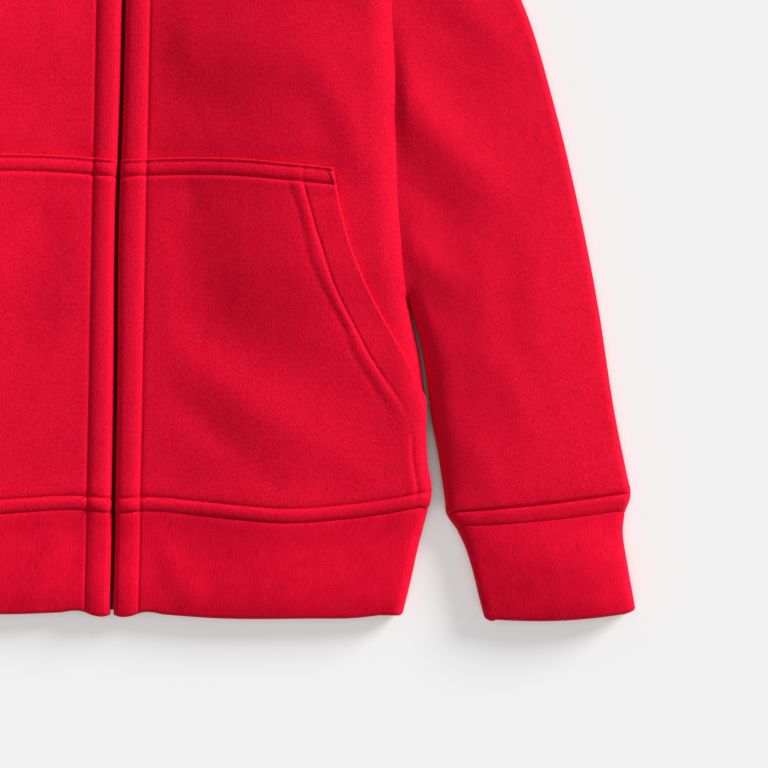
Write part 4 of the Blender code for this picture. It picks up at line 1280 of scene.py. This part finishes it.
def sleeveRing(number, depth, hand):
    plan = sleevePlan(number)
    lift = sleeveLift(plan[:, 0], plan[:, 1], placeAlong(plan), number, hand)
    way = np.array((0.0, 1.0)) if number == 0 else None
    hold = 0.9 if depth > 0 else 1.0
    square = 2.0 + 0.5 * float(past(number, 1.0, 3.0))
    return tubeRing(plan, sleeveFolds, depth, lift * hold, way, square)


def makeSleeves(look):
    numbers = np.concatenate([
        np.linspace(0, 0.4, 7), np.linspace(0.4, 7.0, 96)[1:], np.linspace(7.0, 8.6, 18)[1:],
        lastSleeve - spaced((0.003, 1.0, 1.4), 0.12, (0.003, 1.0), 0.05, 0.2)[::-1]])

    def build(name, hand):
        outer, inner = [np.array([sleeveRing(float(number), depth, hand) for number in numbers])
                        for depth in (0.0, body["wall"])]
        around = lengthAlong(outer, 1)
        down = lengthAlong(outer, 0).mean(axis=1, keepdims=True) * np.ones_like(around)
        return wallMesh(name, outer, inner, around, down, True, look)
    pair("sleeve", build, "red_fleece", (0.24, 0.33), 0.0500)


def cuffPlan(share, shares):
    plan = acrossPlan(stationEnds(cuff["stations"], share), cuff["radius"], shares)
    place = placeAlong(plan)
    bow = cuff["seamBow"] + (cuff["bow"] - cuff["seamBow"]) * share
    plan[:, 1] -= bow * np.sin(math.pi * place)
    return plan


def cuffRing(height, deep, shares, hand):
    # points round the cuff at a height above its open end, deep into the wall
    plan = cuffPlan(1 - height / cuff["length"], shares)
    outside = max(0.0, 1 - deep / (ribbing["thick"] / 2))
    place = placeAlong(plan)
    tuck = cuff["corner"] * (1 - math.sqrt(1 - max(0.0, 1 - height / cuff["corner"]) ** 2))
    tuck = tuck / cuff["halfWidth"] * (2 * place[:, None] - 1) ** 4
    plan = plan + (plan.mean(axis=0) - plan) * tuck
    below = cuff["length"] - height
    crest, (inner, innerPower), (outer, outerPower) = cuff["crest"], cuff["inner"], cuff["outer"]
    fallen = np.where(place < crest, inner * np.abs(1 - place / crest) ** innerPower,
                      outer * np.abs((place - crest) / (1 - crest)) ** outerPower)
    form = (cuff["dome"] - cuff["slope"] * below) * (1 - fallen)
    sewn = sleeveCrown(place, lastSleeve) * sleeve["heldAtSeam"]
    share = past(below, 0.0, cuff["seamReach"])
    form = (sewn - cuff["sewnDepth"]) * (1 - share) + form * share
    form = form * (cuff["innerHeld"] + (1 - cuff["innerHeld"]) * outside)
    form = form + rippled(0.0, plan[:, 0], plan[:, 1], cuff["ripples"], hand) * outside
    raised = ribWave(lengthAlong(plan[None], 1)[0], height) * outside
    least, gained, reach = cuff["square"]
    square = least + gained * float(past(below, 0.0, reach))
    return tubeRing(plan, cuffFolds, deep, form + raised, None, square)


def makeCuffs(look):
    step = ribbing["pitch"] / 4
    shares = np.linspace(0, 1, int(cuff["width"] / step))[1:-1]
    above, depth = ribSection(cuff["length"])

    def build(name, hand):
        rows = [cuffRing(height, deep, shares, hand) for height, deep in zip(above, depth)]
        sections = np.array(rows).transpose(1, 0, 2)
        return sweptMesh(name, sections, np.arange(len(sections)) * step, above, True, look)
    pair("cuff", build, "red_rib", (0.165, 0.046), 0.0075)


# hood, two halves with a seam from the neck over the top to the forehead
hoodFold = laidRadius * hood["foldSpread"]
hoodBackShares = np.linspace(0, 1, 34)
hoodFrontShares = np.concatenate([[0.0, 0.008, 0.02, 0.04], np.linspace(0.07, 1.0, 44)])


def toOutline(start, outline, shares):
    # plan points from a seam or edge to the outline, closer together at its fold
    way = start - outline
    reach = float(np.linalg.norm(way))
    if reach < 4 * laidRadius:
        path = outline + way * (1 - np.asarray(shares))[:, None]
        return np.concatenate([path, np.repeat(outline[None], len(turns) - 1, axis=0)])
    way = way / reach
    folded = outline + way * (hoodFold * (1 - np.cos(turns)))[:, None]
    path = start + (folded[0] - start) * np.asarray(shares)[:, None]
    return np.concatenate([path, folded[1:]])


def hoodPlan(number):
    table = numbered(hood["stations"])
    seamY, outX, outY, edgeX, edgeY = [float(curveAt(table, number, c)) for c in range(1, 6)]
    gap = seamGap / 2
    seam, outline = np.array((gap, seamY)), np.array((max(outX, gap), outY))
    edge = np.array((max(edgeX, gap), edgeY))
    lower = toOutline(seam, outline, hoodBackShares)
    upper = toOutline(edge, outline, hoodFrontShares)[::-1]
    return np.concatenate([lower[:-1], upper]), len(lower) - 1


def neckPlan():
    neckX = body["neckPoint"][0]
    bends = neckX - hoodFold * (1 - np.cos(turns[1:]))
    edgeX = float(frontEdge(body["frontNeck"]))
    backX = seamGap / 2 + (neckX - hoodFold) * hoodBackShares
    frontX = edgeX + (neckX - hoodFold - edgeX) * hoodFrontShares
    lower, upper = [
        np.stack([x, neckHeight(x, front) + seamGap / 2], axis=-1)
        for x, front in ((np.concatenate([backX, bends]), False),
                         (np.concatenate([frontX, bends]), True))]
    return np.concatenate([lower[:-1], upper[::-1]])


def hoodLift(x, y, inset, number, hand):
    # inset is the distance in from the hood's front edge
    opened = past(number, *hood["opens"])
    hem = hood["hem"]
    edge = edgeRound(inset, hood["edgeRadius"]) + groove(inset - hem, 0.8)
    edge = edge + hood["hemRise"] * past(hem - inset, 0.0, 1.5)
    (deep, wide), (neckDeep, neckWide) = hood["seam"], hood["neckSeam"]
    seamed = -deep * swell(x, wide) * (1 - opened)
    toNeck = (lastHood - number) * hood["stationGap"]
    form = rippled(creased(x, y, "hood", hand), x, y, hood["ripples"], hand)
    form = form * past(inset, *hood["softStarts"])
    return edge * opened + seamed + form - neckDeep * swell(toNeck, neckWide)


def makeHood(look):
    turning = lastHood - 0.5  # from this station on the rows swing round to the neck
    numbers = np.concatenate([np.linspace(0.0, turning, 96),
                              lastHood - np.array([0.4, 0.3, 0.2, 0.12, 0.06, 0.0])])
    halfway, backCount = hoodPlan(turning)
    plans = []
    for number in numbers:
        plan = hoodPlan(float(number))[0]
        if number > turning:
            share = (number - turning) / 0.5
            plan = (1 - share) * halfway + share * neckPlan()
        plans.append(plan)
    plan = np.array(plans)
    y = plan[..., 1]
    back, upper = plan[:, :backCount], plan[:, backCount:]
    inset = np.linalg.norm(upper - upper[:, -1:], axis=-1)
    level = numbers[:, None] * np.ones_like(inset)
    onFold = np.zeros(upper.shape[:2], bool)
    onFold[:, 0] = True

    def build(name, hand):
        lift = hoodLift(upper[..., 0], upper[..., 1], inset, level, hand)
        walls = []
        for depth, risen in ((0.0, lift),
                             (body["wall"], lift - edgeRound(inset, hood["edgeRadius"]))):
            under = lay(back[..., 0], back[..., 1], hoodFolds, -1, depth)
            above = lay(upper[..., 0], upper[..., 1], hoodFolds, 1, depth, risen, onFold)
            wall = np.concatenate([under, above], axis=1)
            wall[..., 0] = np.maximum(wall[..., 0], seamGap / 2)
            walls.append(wall)
        piece = wallMesh(name, *walls, lengthAlong(walls[0], 1), y, False, look)
        closePoles(piece)
        return piece
    pair("hood", build, "red_fleece", (0.21, 0.27), 0.0345)


def closePoles(piece):
    # rows that shrink to a point become one vertex
    select(piece)
    bpy.ops.object.mode_set(mode="EDIT")
    bpy.ops.mesh.select_all(action="SELECT")
    bpy.ops.mesh.remove_doubles(threshold=2e-6)
    bpy.ops.object.mode_set(mode="OBJECT")


# sewing
thread = {
    "length": 2.3,
    "pitch": 2.95,
    "wide": 0.46,
    "high": 0.30,
    "dip": 0.16,  # the ends sink into the cloth
    "straight": 0.40,  # share of its length from the middle to where it dips
    "twist": 0.34,  # between two turns of its yarn
    "twistRise": 0.03,
    "light": (0.66, 0.0010, 0.024),
    "shade": (0.46, 0.0004, 0.012),
    # painted shade: darker thread for the pocket's top rows and the bartack, for the shadow in
    # their grooves
    "shadowedThreadLight": (0.40, 0.0010, 0.012),
    "shadowedThreadShade": (0.24, 0.0004, 0.006),
}


def threadFinish(name, light, shade):
    make = Finish(name)
    x, y, z = make.coordinates()
    twist = ((x + y) / (thread["twist"] * mm)).wave()
    fleck = make.grain((x, y, z), (1.5, 1.5, 1.5))
    colour = make.mix(twist * 0.25 + fleck * 0.8 + 0.5, thread[shade], thread[light])
    return make.finish(colour, fleck * 0.2 + 0.6, twist * (thread["twistRise"] * mm),
                       {"Specular IOR Level": 0.1})


def makeStitch():
    # one thread lying along X, flattened, its two ends bent down
    bpy.ops.object.select_all(action="DESELECT")
    bpy.ops.mesh.primitive_uv_sphere_add(segments=6, ring_count=6, radius=0.5,
                                         rotation=(0.0, math.pi / 2, 0.0))
    stitch = bpy.context.object
    bpy.ops.object.transform_apply(location=False, rotation=True, scale=False)
    bpy.ops.object.mode_set(mode="EDIT")
    bpy.ops.transform.resize(value=(thread["length"] * mm, thread["wide"] * mm,
                                    thread["high"] * mm))
    bpy.ops.mesh.select_all(action="DESELECT")
    bpy.ops.object.mode_set(mode="OBJECT")
    for vertex in stitch.data.vertices:
        vertex.select = abs(vertex.co.x) > thread["straight"] * thread["length"] * mm
    bpy.ops.object.mode_set(mode="EDIT")
    bpy.ops.transform.translate(value=(0.0, 0.0, -thread["dip"] * mm))
    bpy.ops.object.mode_set(mode="OBJECT")
    bpy.ops.object.shade_smooth()
    return stitch


def copyAt(pattern, place):
    one = bpy.data.objects.new(pattern.name, pattern.data.copy())
    one.location = place
    bpy.context.collection.objects.link(one)
    return one


def joined(pattern, copies, name, look):
    # all the copies as one piece of the garment; the pattern is taken away
    bpy.data.objects.remove(pattern)
    select(*copies)
    bpy.ops.object.join()
    made = bpy.context.object
    bpy.ops.object.transform_apply(location=True, rotation=True, scale=True)
    made.name = name
    made.data.materials.append(look)
    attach(made, "garment")
    return made


def stitchPlaces(line, pitch):
    # middles and directions of the stitches along a line of points
    line = np.asarray(line, float)
    run = lengthAlong(line[None], 1)[0]
    count = max(int(run[-1] / pitch), 1)
    middles = (np.arange(count) + 0.5) * run[-1] / count
    ends = [np.stack([np.interp(middles + reach, run, line[:, axis]) for axis in range(3)], -1)
            for reach in (-0.4 * pitch, 0.4 * pitch)]
    return (ends[0] + ends[1]) / 2, ends[1] - ends[0]


def sew(name, lines, look, hand=1, crosswise=0.0, pitch=None):
    # joins one copy of the stitch for each place into one piece
    pattern = makeStitch()
    copies = []
    for line in lines:
        middles, steps = stitchPlaces(line, pitch or thread["pitch"])
        for middle, step in zip(middles, steps):
            way = Vector((step[0] * hand, step[1], step[2]))
            if crosswise:
                way = Vector((way.y, -way.x, way.z))
            if way.length < 1e-6:
                continue
            one = copyAt(pattern, toFrame(middle) * (hand, 1.0, 1.0))
            one.rotation_euler = way.to_track_quat("X", "Z").to_euler()
            if crosswise:
                one.scale = (crosswise, 1.1, 1.3)
            copies.append(one)
    joined(pattern, copies, name, look)


def onPocket(x, y, hand):
    lift = pocketLift(x, y, hand)
    return swayed(lay(x, y, bodyFolds, 1, pocketOut, lift), hand)


def onFront(x, y, hand):
    return swayed(lay(x, y, bodyFolds, 1, 0.0, frontLift(x, y, hand)), hand)


def fairLine(start, end):
    # about one point for each millimetre
    return np.linspace(start, end, max(int(abs(end - start)), 2))


# where rows of stitches start and end: heights, or distances from the centre line
seams = {
    "frontTop": 338.0,  # beside the zip
    "centre": 1.6,  # rows along the hem and the pocket's top start here
    "pocketTop": 101.0,
    "slant": (88, 211),
    "side": (60, 97),
    "bandSide": 58.0,  # height of the hem seam at the side
    "bartack": (101.2, 218.8),  # its upper end
    "bartackRun": (2.6, -7.7),  # from there to its lower end
    "bartackWide": 0.72,  # against the length of a stitch
    "bartackPitch": 0.5,
    "backDepth": 0.35,  # the back's row sinks in, so that the underside stays flat
    "hood": (4.3, 1),  # first station, and how many are left at its end
}


def sewBody(look, shadowedThreadLook):
    stitchX, centre = body["stitch"], seams["centre"]
    low = fairLine(float(seamAt(stitchX)) + 1.5, float(pocketTop(stitchX)) - 1.0)
    high = fairLine(float(pocketTop(stitchX)) + 1.5, seams["frontTop"])
    sideX = float(sideAt(seams["bandSide"])) - 3.0
    width, flat = fairLine(centre, sideX), fairLine(centre, seams["pocketTop"])
    slant, side = fairLine(*seams["slant"]), fairLine(*seams["side"])
    stitched = seamAt(width) + body["gauge"]
    bar = np.linspace(0, 1, 12)
    barX, barY = [start + run * bar for start, run in zip(seams["bartack"], seams["bartackRun"])]
    for word, hand in sides:
        lines = [onPocket(np.full_like(low, stitchX), low, hand),
                 onFront(np.full_like(high, stitchX), high, hand),
                 onPocket(width, stitched, hand)]
        for column in (1, 2):
            x = curveAt(pocket["stitches"], slant, column)
            shown = x < pocketSide(slant) - 1.5
            lines.append(onPocket(x[shown], slant[shown], hand))
        lines.append(onPocket(pocketSide(side) - pocket["sideStitch"], side, hand))
        sew("topstitch" + word, lines, look, hand)
        # the pocket's top rows and the bartack get the darker thread, painted shade
        sew("pocketStitch" + word, [onPocket(flat, pocketTop(flat) - inside, hand)
                                    for inside in pocket["topStitches"]], shadowedThreadLook, hand)
        sew("bartack" + word, [onPocket(barX, barY, hand)], shadowedThreadLook, hand,
            crosswise=seams["bartackWide"], pitch=seams["bartackPitch"])
    backX = fairLine(-sideX, sideX)
    backY = seamAt(np.abs(backX)) + body["gauge"]
    back = lay(np.abs(backX), backY, bodyFolds, -1, seams["backDepth"])
    back[:, 0] *= np.sign(backX)
    sew("topstitchBack", [back], look)


def sewSleeves(look):
    for word, hand in sides:
        ring = sleeveRing(lastSleeve - 1.0, 0.0, hand)
        ring[:, 2] = np.maximum(ring[:, 2], 0.4)
        sew("sleeveStitch" + word, [np.concatenate([ring, ring[:1]])], look, hand)


def sewHood(look):
    first, left = seams["hood"]
    for word, hand in sides:
        line = []
        for number in np.linspace(first, lastHood - left, 60):
            plan, backCount = hoodPlan(float(number))
            upper = plan[:backCount:-1]
            inset = np.linalg.norm(upper - upper[0], axis=-1)
            x, y = [np.interp(hood["hem"], inset, upper[:, axis]) for axis in (0, 1)]
            lift = hoodLift(x, y, hood["hem"], number, hand)
            line.append(lay(x, y, hoodFolds, 1, 0.0, lift))
        sew("hoodStitch" + word, [line], look, hand)


# zip
zipper = {
    "foot": 4.0,
    "top": 333.0,
    "tooth": (1.5, 0.62, 1.3),  # across, along, high
    "aside": 0.62,  # each tooth's middle from the centre line
    "pitch": 1.25,
    "height": 5.2,
    "bevel": 0.16,
    "yarn": 0.45,
    # the darker and the lighter tone of each material; the tape and the teeth are darker than
    # their red, painted shade of the narrow gap between the fronts
    "tape": ((0.20, 0.002, 0.008), (0.34, 0.004, 0.014)),
    "plastic": ((0.12, 0.002, 0.006), (0.16, 0.003, 0.008)),
    "lacquer": ((0.30, 0.003, 0.012), (0.42, 0.006, 0.020)),
}


def weaveFinish():
    make = Finish("redTape")
    x, y, _ = make.coordinates()
    weave = (x / (zipper["yarn"] * mm)).wave() * (y / (zipper["yarn"] * mm)).wave()
    fleck = make.grain((x, y), (2.0, 2.0))
    colour = make.mix(weave * 0.3 + fleck * 0.6 + 0.5, *zipper["tape"])
    return make.finish(colour, fleck * 0.2 + 0.75, weave * (0.02 * mm),
                       {"Specular IOR Level": 0.1})


def toothFinish():
    make = Finish("redPlastic")
    x, y, z = make.coordinates()
    fleck = make.grain((x, y, z), (3.0, 3.0, 3.0))
    colour = make.mix(fleck + 0.5, *zipper["plastic"])
    return make.finish(colour, fleck * 0.2 + 0.42, fleck * (0.05 * mm))


def lacquerFinish():
    make = Finish("redLacquer")
    x, y, z = make.coordinates()
    fleck = make.grain((x, y, z), (1.2, 1.2, 1.2), 3.0, 0.6)
    smear = make.grain((x, y), (6.0, 3.0))
    colour = make.mix(fleck * 0.7 + 0.5, *zipper["lacquer"])
    return make.finish(colour, smear * 0.25 + 0.36, fleck * (0.02 * mm),
                       {"Coat Weight": 0.4, "Coat Roughness": 0.2})


def makeTeeth(look):
    bpy.ops.object.select_all(action="DESELECT")
    bpy.ops.mesh.primitive_cube_add(size=1.0)
    tooth = bpy.context.object
    wide, along, high = zipper["tooth"]
    bpy.ops.object.mode_set(mode="EDIT")
    bpy.ops.transform.resize(value=(wide * mm, along * mm, high * mm))
    bpy.ops.mesh.select_all(action="SELECT")
    bpy.ops.mesh.bevel(offset=zipper["bevel"] * mm, segments=1)
    bpy.ops.object.mode_set(mode="OBJECT")
    count = int((zipper["top"] - zipper["foot"]) / zipper["pitch"])
    teeth = [copyAt(tooth, toFrame((zipper["aside"] * (1 if number % 2 else -1),
                                    zipper["foot"] + number * zipper["pitch"],
                                    zipper["height"]))) for number in range(count)]
    made = joined(tooth, teeth, "zipTeeth", look)
    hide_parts("zip_chain")


def dressZip():
    weave, plastic, lacquer = weaveFinish(), toothFinish(), lacquerFinish()
    for node, look in (("zip_tape_left", weave), ("zip_tape_right", weave),
                       ("zip_box", plastic), ("zip_slider", lacquer), ("zip_pull", lacquer)):
        for slot in bpy.data.objects[node].material_slots:
            slot.material = look
    makeTeeth(plastic)


# build
setCamera()
setLight()
print("camera and light set")

fleeceLook = jerseyFinish()
ribLook = ribFinish()
makeBack(fleeceLook)
makeFronts(fleeceLook)
makePockets(fleeceLook)
print("body sewn")
makeBand(ribLook)
makeSleeves(fleeceLook)
makeCuffs(ribLook)
print("sleeves and bands sewn")
makeHood(fleeceLook)
print("hood sewn")
threadLook = threadFinish("redThread", "light", "shade")
sewBody(threadLook, threadFinish("deepThread", "shadowedThreadLight", "shadowedThreadShade"))
sewSleeves(threadLook)
sewHood(threadLook)
dressZip()
print("stitches and zip set")

bpy.ops.mesh.primitive_plane_add(size=board["size"], location=(0.0, 0.0, -board["below"]))
floor = bpy.context.object
floor.name = "floor"
floor.data.materials.append(floorFinish())
